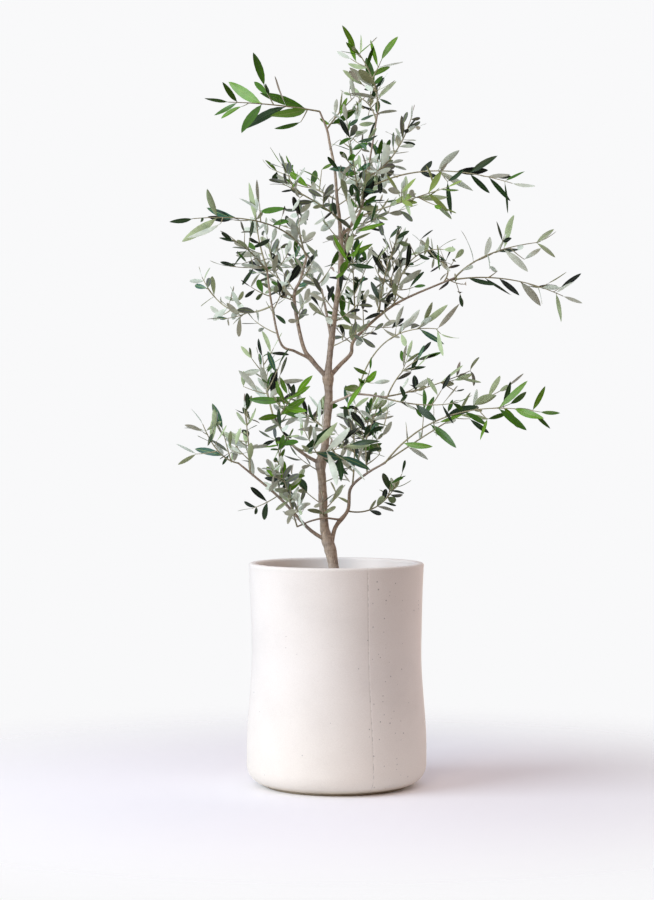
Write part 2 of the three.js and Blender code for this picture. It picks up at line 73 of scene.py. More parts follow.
# Trunk: x, z and radius up its middle line, from the flat cut on the soil to its tip
SOIL_TOP = 337
TRUNK_LINE = [
    (-3, SOIL_TOP + 0.3, 14), (-3, 349, 10), (-5, 366, 8.6), (-10, 393, 9), (-17, 416, 8.8),
    (-21, 443, 7), (-24, 510, 6.8), (-27, 538, 7.6), (-20, 562, 6.4), (-17, 593, 6.3),
    (-13, 643, 6.4), (-14, 680, 7.4), (-12, 710, 5.1), (-4, 777, 4.6), (5, 843, 4.2),
    (8, 893, 3.8), (5, 943, 3.1), (1, 977, 2.6), (-3, 1027, 2.3), (-11, 1068, 2.1),
    (-16, 1093, 1.9), (-28, 1123, 1.5),
]

# Boughs: name, the limb and the share of it where it leaves, radius at foot and tip, bends.
# The nodes are named for these with "_bough" added, and for the sprays with "_spray" added.
BOUGHS = [
    ("low_left", "trunk", 0.09, 3.5, 1.6, [(-47, -8, 430), (-97, -30, 484), (-161, -70, 540)]),
    ("low_right", "trunk", 0.07, 3.9, 1.6,
     [(-2, 9, 430), (19, 20, 459), (24, 20, 496), (51, 8, 521), (81, -10, 539)]),
    ("low_front", "low_right", 0.29, 1.8, 1.3,
     [(-19, -15, 447), (-42, -26, 443), (-65, -38, 434)]),
    ("middle_left", "trunk", 0.255, 3.3, 1.5, [(-52, -12, 552), (-77, -28, 574), (-105, -48, 619)]),
    ("middle_right", "trunk", 0.38, 2.3, 1.5, [(9, -22, 645), (32, -40, 653), (83, -78, 648)]),
    ("fork_left", "trunk", 0.435, 4.2, 1.8,
     [(-39, -10, 707), (-56, -18, 735), (-70, -28, 811), (-60, -24, 842), (-49, -18, 882)]),
    ("far_left", "fork_left", 0.2, 2.5, 1.5,
     [(-69, -26, 724), (-92, -40, 737), (-106, -62, 798), (-114, -78, 859)]),
    ("fork_right", "trunk", 0.435, 4, 1.5,
     [(6, 12, 702), (24, 20, 721), (30, 26, 744), (72, 40, 785), (115, 34, 813), (198, 18, 848)]),
    ("leader", "trunk", 0.735, 2.7, 1.3,
     [(23, 14, 933), (38, 20, 955), (49, 26, 996), (56, 26, 1046), (69, 16, 1125)]),
    ("low_back", "trunk", 0.18, 2.9, 1.5, [(-21, 60, 525), (-8, 120, 575)]),
    ("middle_back", "trunk", 0.515, 2.7, 1.5, [(-18, 60, 795), (-25, 115, 832)]),
    ("high_back", "trunk", 0.68, 2.5, 1.4, [(19, 55, 922), (30, 100, 959)]),
]

# Sprays: each stem leaves its limb at a share of the limb's length, ends at its tip and bows aside
# midway. leaf is a full leaf's length, bare the share of the stem without leaves, tone its colours.
SPRAY_COLUMNS = ("name", "on", "at", "tip", "bow", "leaf", "bare", "twigs", "seed", "tone")
SPRAYS = [dict(zip(SPRAY_COLUMNS, row)) for row in [
    ("cantilever", "trunk", 1, (-176, -80, 1129), (0, 0, 3), 70, 0.08, 2, 129, "glossy"),
    ("top_twig", "trunk", 0.96, (36, 50, 1158), (0, 0, 4), 46, 0.1, 2, 65, "light"),
    ("upper_left", "trunk", 0.81, (-109, 75, 1034), (0, 2, 2), 44, 0.1, 4, 108, "fresh"),
    ("upper_left_low", "trunk", 0.77, (-88, -60, 998), (9, 0, -2), 36, 0.05, 5, 98, "grey"),
    ("crown_tip", "leader", 1, (32, -10, 1225), (10, 0, 0), 52, 0, 5, 120, "light"),
    ("crown_back", "leader", 0.93, (26, 100, 1162), (6, 0, 8), 40, 0.05, 4, 10, "mixed"),
    ("grey_twig", "leader", 0.52, (129, 105, 1129), (6, 4, -15), 36, 0.05, 4, 19, "grey"),
    ("upper_right_long", "leader", 0.42, (290, -30, 1001), (-14, 0, 26), 56, 0.3, 2, 106, "deep"),
    ("upper_right_low", "leader", 0.21, (179, -90, 989), (0, -5, 0), 48, 0.05, 5, 27, "yellow"),
    ("upper_inner", "leader", 0.27, (17, -50, 1101), (0, -6, 0), 40, 0.05, 7, 41, "mixed"),
    ("long_left", "fork_left", 1, (-231, -140, 935), (28, 0, 22), 62, 0.1, 5, 33, "mixed"),
    ("centre_left", "fork_left", 0.98, (-65, 50, 971), (-4, 4, 2), 36, 0.05, 5, 9, "grey"),
    ("centre_left_back", "fork_left", 0.66, (-110, 85, 915), (-14, 0, 0), 36, 0.05, 6, 77, "grey"),
    ("far_left_upper", "far_left", 1, (-132, -60, 949), (-4, 0, 2), 38, 0, 4, 135, "grey"),
    ("far_left_outer", "far_left", 0.97, (-168, -140, 901), (0, 0, 7), 44, 0.05, 3, 150, "mixed"),
    ("pale_left", "far_left", 0.67, (-226, 40, 850), (-8, 0, -31), 36, 0.1, 4, 95, "sage"),
    ("centre_upright", "fork_right", 0.31, (26, 80, 922), (0, 4, -4), 38, 0.05, 7, 45, "mixed"),
    ("centre_green", "trunk", 0.63, (52, -60, 952), (-4, 0, 8), 58, 0.1, 5, 133, "fresh"),
    ("right_upright", "fork_right", 0.5, (112, -30, 938), (-8, -5, 0), 50, 0.05, 6, 127, "mixed"),
    ("right_outer", "fork_right", 0.61, (174, -80, 889), (-14, 0, 26), 46, 0.05, 5, 34, "mixed"),
    ("right_back", "fork_right", 0.68, (105, 120, 880), (-16, 0, -8), 38, 0.05, 5, 127, "grey"),
    ("right_fork_upper", "fork_right", 1, (341, -40, 904), (-14, 0, 10), 52, 0.05, 3, 54, "contrast"),
    ("right_fork_lower", "fork_right", 0.95, (379, 20, 817), (0, 0, 16), 56, 0.05, 2, 52, "contrast"),
    ("right_fork_near", "fork_right", 0.93, (176, 95, 890), (10, 0, 0), 36, 0.05, 2, 15, "deep"),
    ("slender_right", "middle_right", 0.52, (175, -140, 756), (-21, -7, 36), 58, 0.45, 2, 47, "sage"),
    ("right_inner", "middle_right", 1, (143, -80, 714), (-6, 0, 8), 50, 0.05, 3, 75, "mixed"),
    ("right_long", "middle_right", 0.95, (230, -40, 696), (0, 0, -6), 46, 0.05, 3, 80, "contrast"),
    ("right_dark", "middle_right", 0.84, (196, -140, 640), (4, 0, -9), 46, 0.05, 3, 55, "deep"),
    ("centre_bright", "middle_right", 0.42, (54, -130, 692), (4, -4, -4), 52, 0.05, 2, 5, "fresh"),
    ("centre_dark", "low_right", 0.8, (60, 55, 635), (-6, 0, 0), 40, 0.05, 6, 45, "mixed"),
    ("low_right_long", "low_right", 1, (330, -110, 624), (-20, 0, 36), 54, 0.15, 4, 4, "fresh"),
    ("low_right_upper", "low_right", 0.94, (283, 30, 663), (8, 0, 9), 50, 0.15, 3, 29, "mixed"),
    ("low_right_back", "low_right", 0.62, (26, 85, 618), (4, 0, 0), 38, 0.05, 5, 93, "grey"),
    ("low_right_small", "low_right", 0.39, (110, 50, 518), (6, 5, -22), 32, 0.3, 2, 28, "deep"),
    ("low_left_tip", "low_left", 1, (-217, -110, 604), (-3, 0, -13), 54, 0, 3, 94, "sage"),
    ("low_left_upright", "low_left", 0.87, (-154, 0, 630), (2, 0, 0), 40, 0.05, 5, 122, "contrast"),
    ("low_left_inner", "low_left", 0.52, (-83, -75, 591), (-8, 0, 0), 40, 0.05, 6, 52, "fresh"),
    ("low_front", "low_front", 1, (-89, -100, 530), (0, 0, -3), 36, 0, 3, 26, "grey"),
    ("left_inner", "middle_left", 1, (-123, -30, 726), (-2, 0, -4), 48, 0, 6, 134, "mixed"),
    ("left_bright", "middle_left", 0.8, (-65, -130, 653), (-11, -4, -4), 58, 0.05, 3, 40, "fresh"),
    ("front", "middle_left", 0.54, (22, -120, 571), (-12, -6, -14), 64, 0.25, 2, 46, "mixed"),
    ("low_back_left", "low_back", 1, (-82, 215, 634), (8, 0, 4), 46, 0, 5, 27, "mixed"),
    ("low_back_right", "low_back", 0.92, (76, 205, 622), (-7, 0, 2), 46, 0, 5, 13, "mixed"),
    ("middle_back", "middle_back", 1, (-99, 200, 884), (7, 0, 2), 44, 0, 5, 110, "mixed"),
    ("high_back", "high_back", 1, (84, 160, 1076), (0, 5, -4), 38, 0, 6, 8, "mixed"),
]]

# Leafy twigs straight on a limb: the shares of its length between which they leave it, how many
# they are, how long the longest is, then leaf, seed and tone as for a spray
LIMB_COLUMNS = ("on", "from", "to", "twigs", "reach", "leaf", "seed", "tone")
LIMB_TWIGS = [dict(zip(LIMB_COLUMNS, row)) for row in [
    ("trunk", 0.49, 0.61, 6, 70, 34, 3, "grey"),
    ("trunk", 0.7, 0.83, 6, 56, 34, 11, "mixed"),
    ("trunk", 0.2, 0.27, 3, 70, 38, 5, "grey"),
    ("fork_right", 0.26, 0.52, 7, 60, 34, 7, "grey"),
    ("fork_left", 0.45, 0.8, 5, 56, 36, 9, "grey"),
    ("far_left", 0.4, 0.8, 4, 54, 36, 13, "mixed"),
    ("low_left", 0.4, 0.66, 4, 62, 38, 17, "contrast"),
    ("middle_left", 0.45, 0.95, 3, 66, 36, 42, "grey"),
    ("leader", 0.04, 0.34, 6, 82, 38, 34, "grey"),
    ("trunk", 0.12, 0.19, 3, 66, 34, 36, "contrast"),
]]

# Sprays without finest twigs, where the sky shows between the leaves
AIRY = {"crown_tip", "centre_left", "upper_left", "upper_left_low", "centre_left_back",
        "far_left_upper", "pale_left", "upper_right_low", "upper_right_long", "right_dark",
        "low_right_upper", "low_right_small", "low_right_back"}

# Growth of a spray. A pair of numbers is a span, and a share between 0 and 1 picks a value on it.
# Angles and turns are in radians.
TWIG_REACH = 66  # the longest side twig
TWIG_PLACES = (0.12, 0.86)  # the shares of the stem between which side twigs leave it
TWIG_SHORTENING = (1, 0.5)  # how long one may be, from the stem's foot to its tip
TWIG_ANGLES = (0.65, 1.05)  # how far one leans away from the stem
TWIG_LENGTHS = (0.65, 1)  # its length, of the longest at its place
TWIG_TURN, TWIG_TRIES = 1.7, 4  # how far one without room is turned on, and how often it is tried
TWIG_TESTS = (0.4, 0.7, 1)  # the shares of its length where it needs room
TWIG_LIFT = 0.08  # how far a twig bows, of its length
FINE_REACH = 34  # a usual twig between the leaves of a stem or side twig
FINE_LENGTHS = (0.7, 1.2)
FINE_ANGLES = (0.6, 1)
FINE_PLACES = (0.15, 0.85)
FINE_TURN, FINE_TRIES = 2, 3
FINE_TESTS = (0.5, 1)
FINE_ON_STEM = 2  # how many leave a stem
FINE_LEAF = 0.92  # how large a leaf on the finest twigs is, of the spray's leaves
DENSE = 42  # sprays with leaves up to this long have finest twigs on every other side twig
LIMB_ANGLES = (0.7, 1.2)  # how far a twig on a limb leans away from it
LIMB_LENGTHS = (0.6, 1)
LIMB_TESTS = (0.6, 1)
PAIR_GAP = 0.52  # between two pairs of leaves, of a leaf's length
PAIR_STEPS = (0.8, 1.25)  # how far one pair is from the next, of that gap
END_STEP = 0.45  # how far the last pair is from the leaf at the end, of that gap
END_ANGLE = 0.15  # how far that leaf leans
BARE_FOOT = 6  # how much of a twig's foot is always bare
LEAF_LOSS = 0.1  # the share of leaves that have dropped
LEAF_WIDTH = 0.27  # of the leaf's length
LEAF_ANGLES = (0.55, 1.3)  # how far a leaf leans away from its twig
LEAF_TURNS = (-0.35, 0.35)  # how far it stands off its pair's plane
LEAF_SIZES = (0.72, 1.15)
LEAF_TESTS = (1, 0.25, 0.55, 0.55, 0.8)  # where it needs room; the two middle ones at its margins
YOUNG_LEAF = 0.75  # how large the leaf at the end is, of the full ones
FACE_ALONG, FACE_UP, FACE_ASIDE = 0.6, 0.5, 0.9  # what draws its face: its twig, the sky, chance
SPACE_MARGIN = 1.2  # how much nearer to its own stem than to any other a leaf keeps
LIMB_MARGIN = 1  # how far a leaf or twig keeps from a limb's bark
SLENDER = 50  # sprays with leaves longer than this are long and open, with slender leaves
SLENDER_LENGTH = 1.1  # how much longer such leaves are
SLENDER_PLACES = (0.45, 0.97)  # where the finest twigs of such sprays are
SLENDER_TWIG = 0.4  # how long those are, of the usual ones
SLENDER_TWIGS = 5  # how many twigs such a stem has, the finest included
OPEN_SIDE = np.array([-0.35, -0.9, 0.0])  # how much such leaves turn their faces to the light

# Kinds of twig: the share without leaves at its foot, and its radius at foot and tip
STEM = {"thick": 1.6, "thin": 0.7}
SIDE_TWIG = {"bare": 0.18, "thick": 1.15, "thin": 0.6}
FINE_TWIG = {"bare": 0.2, "thick": 0.85, "thin": 0.5}
LIMB_TWIG = {"bare": 0.25, "thick": 1.1, "thin": 0.6}

# Places that the rule asks about: one for the whole spray, and then a run of them for the leaves
# of each twig and for the finest twigs of each. A random turn goes about all the way round.
SPRAY_PLACE = 40
LEAF_RUN = 64
FINE_START, FINE_RUN = 40, 8
FIRST_FINE, FINE_NUMBERS = 12, 4  # the finest twigs' own numbers
LEAF_ROUND, FINE_ROUND, FACE_ROUND = 6, 6.283, 6.3

# What a spray's leaves look like: the share of each finish on their upper side, and the share of
# leaves that turn that side to the plant's front, or to its back on sprays behind the trunk
# the shade share in these tones deals out the near-black finish, which is painted shade
TONES = {
    "fresh": {"bright": 0.5, "green": 0.3, "deep": 0.2},
    "glossy": {"bright": 0.25, "green": 0.5, "deep": 0.25},
    "light": {"bright": 0.45, "sage": 0.25, "green": 0.3},
    "deep": {"deep": 0.5, "green": 0.3, "shade": 0.2},
    "sage": {"sage": 0.4, "grey": 0.3, "teal": 0.3},
    "mixed": {"green": 0.35, "deep": 0.25, "teal": 0.2, "shade": 0.2},
    "grey": {"grey": 0.4, "sage": 0.2, "shade": 0.4},
    "yellow": {"yellow": 0.45, "bright": 0.2, "sage": 0.35},
    "contrast": {"deep": 0.45, "shade": 0.25, "sage": 0.3},
}
UPPER_SHARE = {"fresh": 0.9, "glossy": 0.95, "light": 0.6, "deep": 0.75, "sage": 0.32,
               "mixed": 0.52, "grey": 0.5, "yellow": 0.65, "contrast": 0.5}
BEHIND = 60  # how far back a spray's middle is where it belongs to the plant's back
LEVELS = {"low": 665, "middle": 930, "high": math.inf}  # under which a spray's middle lies in each

# Leaf finishes: colour, roughness and the share of clear coat that the leaf's wax gives it. A leaf
# has one of the first eight on its upper side, one of two midribs and one of two undersides. The
# near-black shade finish is painted shade, for leaves that lie deep in shade.
FINISHES = {
    "bright": ("#629515", 0.4, 0.12), "green": ("#437315", 0.4, 0.12),
    "deep": ("#1C3C14", 0.42, 0.12), "shade": ("#111A17", 0.42, 0.12),
    "teal": ("#3F6956", 0.42, 0.15), "yellow": ("#90A857", 0.5, 0.05),
    "grey": ("#737A74", 0.65, 0.0), "sage": ("#B1BEA2", 0.65, 0.0),
    "midrib": ("#8BA55C", 0.5, 0.0), "dark_midrib": ("#43583A", 0.5, 0.0),
    "underside": ("#D3DECF", 0.85, 0.0), "green_underside": ("#B3C69B", 0.8, 0.0),
}


def linear(hex_colour):
    """An sRGB hex colour as the linear red, green and blue that Blender's sockets take."""
    values = [int(hex_colour[i:i + 2], 16) / 255 for i in (1, 3, 5)]
    return tuple(v / 12.92 if v <= 0.04045 else ((v + 0.055) / 1.055) ** 2.4 for v in values)


def mix(a, b, t):
    return a + (b - a) * t


def unit(vector):
    return vector / np.linalg.norm(vector)


# Growing the tree, by the same rule as its solids


def chance(seed, place, question):
    """A repeatable share between 0 and 1 for one question, up to 15, about one place on one spray."""
    low = 0xFFFFFFFF
    h = ((seed + 1013) * 0x9E3779B1 ^ (place * 16 + question + 1) * 0x85EBCA6B) & low
    h = (h ^ h >> 15) * 0x2C1B3C6D & low
    h = (h ^ h >> 12) * 0x297A2D39 & low
    return (h ^ h >> 15) / 2 ** 32


class Path:
    """A smooth line, measured along its length. It is given by its place at each parameter."""

    def __init__(self, place):
        self.place = place
        self.steps = np.linspace(0, 1, 201)
        chords = np.linalg.norm(np.diff(place(self.steps), axis=0), axis=1)
        self.lengths = np.concatenate([[0.0], np.cumsum(chords)])
        self.length = self.lengths[-1]

    def parameter(self, share):
        return np.interp(np.asarray(share, float) * self.length, self.lengths, self.steps)

    def at(self, share):
        spots = self.place(np.atleast_1d(self.parameter(share)))
        return spots if np.ndim(share) else spots[0]

    def heading(self, share):
        t = float(self.parameter(share))
        ends = self.place(np.array([max(t - 1e-4, 0), min(t + 1e-4, 1)]))
        return unit(ends[1] - ends[0])


def path_through(points):
    """A smooth path that passes through every point."""
    points = np.array(points, float)
    around = np.vstack([2 * points[0] - points[1], points, 2 * points[-1] - points[-2]])

    def place(t):
        t = t * (len(points) - 1)
        i = np.minimum(t.astype(int), len(points) - 2)
        w = (t - i)[:, None]
        before, start, end, after = (around[i + k] for k in range(4))
        leave, arrive = (end - before) / 2, (after - start) / 2
        bend = -3 * start + 3 * end - 2 * leave - arrive
        turn = 2 * start - 2 * end + leave + arrive
        return start + leave * w + bend * w ** 2 + turn * w ** 3

    return Path(place)


def path_bowed(start, bend, end):
    """A path from start to end that leans towards bend midway."""

    def place(t):
        t = t[:, None]
        return start * (1 - t) ** 2 + 2 * bend * t * (1 - t) + end * t ** 2

    return Path(place)


class Limb:
    """The trunk or a bough: its path, its radii, and its path as short straight pieces."""

    def __init__(self, points, radii):
        self.path = path_through(points)
        self.radii = radii
        self.line = self.path.at(np.linspace(0, 1, 2 * len(points) - 1))

    def radius(self, share):
        spots = self.path.parameter(share) * (len(self.radii) - 1)
        return np.interp(spots, range(len(self.radii)), self.radii)


def nearest(line, points):
    """Distance from each point to a line of straight pieces, and how far along the line it is."""
    start, step = line[:-1], np.diff(line, axis=0)
    away = points[:, None] - start
    t = np.clip((away * step).sum(2) / (step ** 2).sum(1), 0, 1)
    distance = np.linalg.norm(away - t[..., None] * step, axis=2)
    best = distance.argmin(1)
    rows = np.arange(len(points))
    return distance[rows, best], (best + t[rows, best]) / len(step)


def leaning(axis, angle, turn):
    """A direction that leans away from an axis by an angle, on the side that turn picks."""
    side = np.cross(axis, UP)
    if side @ side < 0.01:
        side = np.array([1.0, 0.0, 0.0])
    side = unit(side)
    turned = side * math.cos(turn) + np.cross(axis, side) * math.sin(turn)
    turned += axis * (axis @ side) * (1 - math.cos(turn))
    return axis * math.cos(angle) + turned * math.sin(angle)


class Tree:
    """Limbs, stems, twigs and leaves of the whole plant, in millimetres."""

    def __init__(self):
        middle = [(x, 0, z) for x, z, _ in TRUNK_LINE]
        self.limbs = {"trunk": Limb(middle, [radius for _, _, radius in TRUNK_LINE])}
        self.parents = {}
        for name, parent, share, thick, thin, bends in BOUGHS:
            points = [self.limbs[parent].path.at(share), *bends]
            self.limbs[name] = Limb(points, np.linspace(thick, thin, len(points)))
            self.parents[name] = (parent, share)
        self.stems = []
        for spray in SPRAYS:
            root = self.limbs[spray["on"]].path.at(spray["at"])
            end = np.array(spray["tip"], float)
            bend = (root + end) / 2 + 2 * np.array(spray["bow"], float)
            self.stems.append(path_bowed(root, bend, end))
        self.stem_lines = [stem.at(np.linspace(0, 1, 7)) for stem in self.stems]

    def in_own_space(self, points, own):
        """Which points are clear of every limb, and nearer to their own stem than to any other.
        Twigs on a limb have no stem."""
        clear = np.ones(len(points), bool)
        for limb in self.limbs.values():
            distance, share = nearest(limb.line, points)
            clear &= distance >= limb.radius(share) + LIMB_MARGIN
        if own is None:
            return clear
        reach = nearest(self.stem_lines[own], points)[0] + SPACE_MARGIN
        for other, line in enumerate(self.stem_lines):
            if other != own:
                clear &= nearest(line, points)[0] > reach
        return clear

    def side_twigs(self, spray, own):
        """Side twigs of a spray, each turned on until it finds room."""
        seed, stem, count = spray["seed"], self.stems[own], spray["twigs"]
        first, last = TWIG_PLACES
        found = []
        for k in range(count):
            share = mix(max(spray["bare"], first), last, (k + chance(seed, k, 0)) / count)
            angle = mix(*TWIG_ANGLES, chance(seed, k, 1))
            length = TWIG_REACH * mix(*TWIG_SHORTENING, share) * mix(*TWIG_LENGTHS, chance(seed, k, 2))
            start = GOLDEN_ANGLE * (k + 4 * chance(seed, SPRAY_PLACE, 0))
            turns = [start + go * TWIG_TURN for go in range(TWIG_TRIES)]
            twig = self.twig(stem, share, angle, turns, length, own, TWIG_TESTS)
            if twig:
                found.append({"path": twig, "number": k + 1, **SIDE_TWIG})
        return found

    def fine_twigs(self, spray, own, parents):
        """The finest twigs, which leave the stem and the side twigs between their leaves."""
        seed, slender, found = spray["seed"], spray["leaf"] > SLENDER, []
        places = SLENDER_PLACES if slender else FINE_PLACES
        for parent in parents:
            if parent["number"] == 0:
                count = max(0, SLENDER_TWIGS - spray["twigs"]) if slender else FINE_ON_STEM
            else:
                count = 1 if spray["leaf"] <= DENSE and parent["number"] % 2 else 0
            for k in range(count):
                place = FINE_START + FINE_RUN * parent["number"] + k
                share = mix(*places, (k + chance(seed, place, 10)) / count)
                length = FINE_REACH * mix(*FINE_LENGTHS, chance(seed, place, 11))
                length *= SLENDER_TWIG if slender else 1
                angle = mix(*FINE_ANGLES, chance(seed, place, 12))
                start = FINE_ROUND * chance(seed, place, 13)
                turns = [start + FINE_TURN * go for go in range(FINE_TRIES)]
                twig = self.twig(parent["path"], share, angle, turns, length, own, FINE_TESTS)
                if twig:
                    number = FIRST_FINE + FINE_NUMBERS * parent["number"] + k
                    found.append({"path": twig, "number": number, "parent": parent, "share": share,
                                  **FINE_TWIG})
        return found

    def twig(self, parent, share, angle, turns, length, own, tests):
        """A twig with a slight bend, on the first turn where it has room, or nothing."""
        root, heading = parent.at(share), parent.heading(share)
        for turn in turns:
            end = root + leaning(heading, angle, turn) * length
            points = np.array([mix(root, end, t) for t in tests])
            if self.in_own_space(points, own).all():
                return path_bowed(root, (root + end) / 2 - UP * (TWIG_LIFT * length), end)
        return None

    def leaf_at(self, twig, spray, spot, pair, side, back, leaf):
        """One leaf of a pair, or the single one at a twig's end, at a distance back from there."""
        seed, path, slender = spray["seed"], twig["path"], spray["leaf"] > SLENDER
        share = 1 - back / path.length
        root, axis = path.at(share), path.heading(share)
        turn = pair * (math.pi / 2) + LEAF_ROUND * chance(seed, LEAF_RUN * twig["number"], 3)
        angle = mix(*LEAF_ANGLES, chance(seed, spot, 4)) if pair else END_ANGLE
        across = turn + side * math.pi + mix(*LEAF_TURNS, chance(seed, spot, 5))
        along = leaning(axis, angle, across)
        size = leaf * mix(YOUNG_LEAF, 1, min(1, back / leaf))
        size *= mix(*LEAF_SIZES, chance(seed, spot, 6))
        size *= SLENDER_LENGTH if slender else 1
        face = FACE_ALONG * axis + FACE_UP * UP
        face += FACE_ASIDE * leaning(along, math.pi / 2, FACE_ROUND * chance(seed, spot, 7))
        if slender:
            face += OPEN_SIDE * np.sign(face @ OPEN_SIDE)
        face = unit(face - along * (face @ along))
        return {"root": root, "along": along, "face": face, "size": size, "spot": spot, "share": share}

    def leaves_along(self, twig, spray, own):
        """Leaves along a stem or twig: one at its end, then crossed pairs back towards its foot."""
        seed, place, length = spray["seed"], LEAF_RUN * twig["number"], twig["path"].length
        leaf = spray["leaf"] * (FINE_LEAF if twig["number"] >= FIRST_FINE else 1)
        leaves, back, pair = [], 0.0, 0
        while length - back > max(twig["bare"] * length, BARE_FOOT):
            for side in range(2 if pair else 1):
                spot = place + 2 * pair + side
                if chance(seed, spot, 9) >= LEAF_LOSS:
                    leaves.append(self.leaf_at(twig, spray, spot, pair, side, back, leaf))
            step = mix(*PAIR_STEPS, chance(seed, place + 2 * pair, 8)) if pair else END_STEP
            back += step * (PAIR_GAP * leaf)
            pair += 1
        if not leaves:
            return []
        points = []
        for leaf in leaves:
            half = np.cross(leaf["along"], leaf["face"]) * (LEAF_WIDTH / 2 * leaf["size"])
            reach = [leaf["root"] + leaf["along"] * (leaf["size"] * t) for t in LEAF_TESTS]
            reach[2] = reach[2] + half
            reach[3] = reach[3] - half
            points += reach
        clear = self.in_own_space(np.array(points), own).reshape(len(leaves), -1).all(1)
        return [leaf for leaf, fits in zip(leaves, clear) if fits]

    def leafy(self, twigs, spray, own):
        """The twigs that bear leaves or leafy twigs, each ending at the last of them, and the leaves."""
        kept, leaves = [], []
        for twig in reversed(twigs):
            found = self.leaves_along(twig, spray, own)
            twig["end"] = max([leaf["share"] for leaf in found] + [twig.get("end", 0)])
            if twig["end"] > 0:
                kept.append(twig)
                if "parent" in twig:
                    twig["parent"]["end"] = max(twig["share"], twig["parent"].get("end", 0))
            leaves += found
        return kept, leaves

    def grow_on_limb(self, row):
        """The leafy twigs of one row that leave a limb itself."""
        seed, path = row["seed"], self.limbs[row["on"]].path
        twigs = []
        for k in range(row["twigs"]):
            share = mix(row["from"], row["to"], (k + chance(seed, k, 0)) / row["twigs"])
            angle = mix(*LIMB_ANGLES, chance(seed, k, 1))
            length = row["reach"] * mix(*LIMB_LENGTHS, chance(seed, k, 2))
            turns = [GOLDEN_ANGLE * (k + seed)]
            twig = self.twig(path, share, angle, turns, length, None, LIMB_TESTS)
            if twig:
                twigs.append({"path": twig, "number": k + 1, **LIMB_TWIG})
        return self.leafy(twigs, row, None)

    def grow(self, own):
        """The stem, the twigs and the leaves of one spray."""
        spray = SPRAYS[own]
        stem = {"path": self.stems[own], "number": 0, "bare": spray["bare"], **STEM}
        twigs = [stem, *self.side_twigs(spray, own)]
        if spray["name"] not in AIRY:
            twigs += self.fine_twigs(spray, own, twigs)
        return self.leafy(twigs, spray, own)


# Nodes, meshes and pieces


def fill_inputs(tree, node, inputs):
    """Fills or links a node's inputs, by name or number. A node given as a value means its first
    output that is in use."""
    for key, value in inputs.items():
        if isinstance(value, bpy.types.Node):
            value = next(output for output in value.outputs if output.enabled)
        if isinstance(value, bpy.types.NodeSocket):
            tree.links.new(value, node.inputs[key])
        else:
            node.inputs[key].default_value = value


def add_node(tree, kind, inputs=None, **settings):
    """Adds a node, sets its properties, and fills or links its inputs. A kind of no named family
    is a shader node."""
    node = tree.nodes.new(kind if "Node" in kind else "ShaderNode" + kind)
    for key, value in settings.items():
        setattr(node, key, value)
    fill_inputs(tree, node, inputs or {})
    return node


def new_material(name, base, roughness, **sockets):
    """A material with its constants on the shader's own sockets. Returns it with its node tree,
    its shader and the place on the piece that its patterns follow, in metres."""
    material = bpy.data.materials.new(name)
    material.use_nodes = True
    material.diffuse_color = (*base, 1)
    tree = material.node_tree
    shader = tree.nodes["Principled BSDF"]
    fill_inputs(tree, shader, {"Base Color": (*base, 1), "Roughness": roughness})
    fill_inputs(tree, shader, {key.replace("_", " "): value for key, value in sockets.items()})
    return material, tree, shader, add_node(tree, "TexCoord").outputs["Object"]


def per_metre(size):
    """The scale of a pattern from the real size of its features in millimetres."""
    return 1 / (size * MM)


def rgba(colour, strength=1.0):
    return (*[min(1.0, c * strength) for c in colour], 1.0)


def ramp(tree, factor, stops):
    """A colour ramp over a factor, from a list of positions and colours."""
    node = add_node(tree, "ValToRGB", {"Fac": factor})
    while len(node.color_ramp.elements) < len(stops):
        node.color_ramp.elements.new(0.5)
    for element, (position, colour) in zip(node.color_ramp.elements, stops):
        element.position = position
        element.color = rgba(linear(colour)) if isinstance(colour, str) else colour
    return node


def object_of(name, mesh):
    piece = bpy.data.objects.new(name, mesh)
    bpy.context.scene.collection.objects.link(piece)
    return piece


def mesh_of(name, points, faces, materials, indices=None):
    """A smooth mesh from points in metres, faces and the material number of each face."""
    mesh = bpy.data.meshes.new(name)
    mesh.from_pydata(points, [], faces)
    for material in materials:
        mesh.materials.append(material)
    if indices is not None:
        mesh.polygons.foreach_set("material_index", indices)
    mesh.polygons.foreach_set("use_smooth", [True] * len(mesh.polygons))
    mesh.update()
    return mesh


def finish_piece(piece, slot, *nodes):
    """The piece rides on the plant's body and stands for any nodes. Its slot is not used."""
    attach(piece, "root")
    if nodes:
        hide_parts(*nodes)


def baked(piece, geometry_tree, **values):
    """Turns what a geometry tree makes of the piece, with these inputs, into its own plain mesh."""
    tree, identifiers = geometry_tree
    modifier = piece.modifiers.new(tree.name, "NODES")
    modifier.node_group = tree
    for label, value in values.items():
        modifier[identifiers[label]] = value
    view = bpy.context.evaluated_depsgraph_get()
    mesh = bpy.data.meshes.new_from_object(piece.evaluated_get(view))
    piece.modifiers.remove(modifier)
    old, piece.data = piece.data, mesh
    mesh.name = piece.name
    bpy.data.meshes.remove(old)
    return piece


def new_geometry_tree(name, inputs):
    """A geometry node tree with named inputs. Returns the tree, its input node and identifiers."""
    tree = bpy.data.node_groups.new(name, "GeometryNodeTree")
    tree.interface.new_socket("Geometry", in_out="INPUT", socket_type="NodeSocketGeometry")
    identifiers = {}
    for label, (kind, value) in inputs.items():
        socket = tree.interface.new_socket(label, in_out="INPUT", socket_type="NodeSocket" + kind)
        if value is not None:
            socket.default_value = value
        identifiers[label] = socket.identifier
    tree.interface.new_socket("Geometry", in_out="OUTPUT", socket_type="NodeSocketGeometry")
    return tree, tree.nodes.new("NodeGroupInput"), identifiers


def end_tree(tree, given, shape):
    """Makes a geometry tree's shape real, dresses it in the given material and puts it out."""
    whole = add_node(tree, "GeometryNodeRealizeInstances", {0: shape})
    material = given.outputs["Material"]
    dressed = add_node(tree, "GeometryNodeSetMaterial", {"Geometry": whole, "Material": material})
    add_node(tree, "NodeGroupOutput", {"Geometry": dressed})


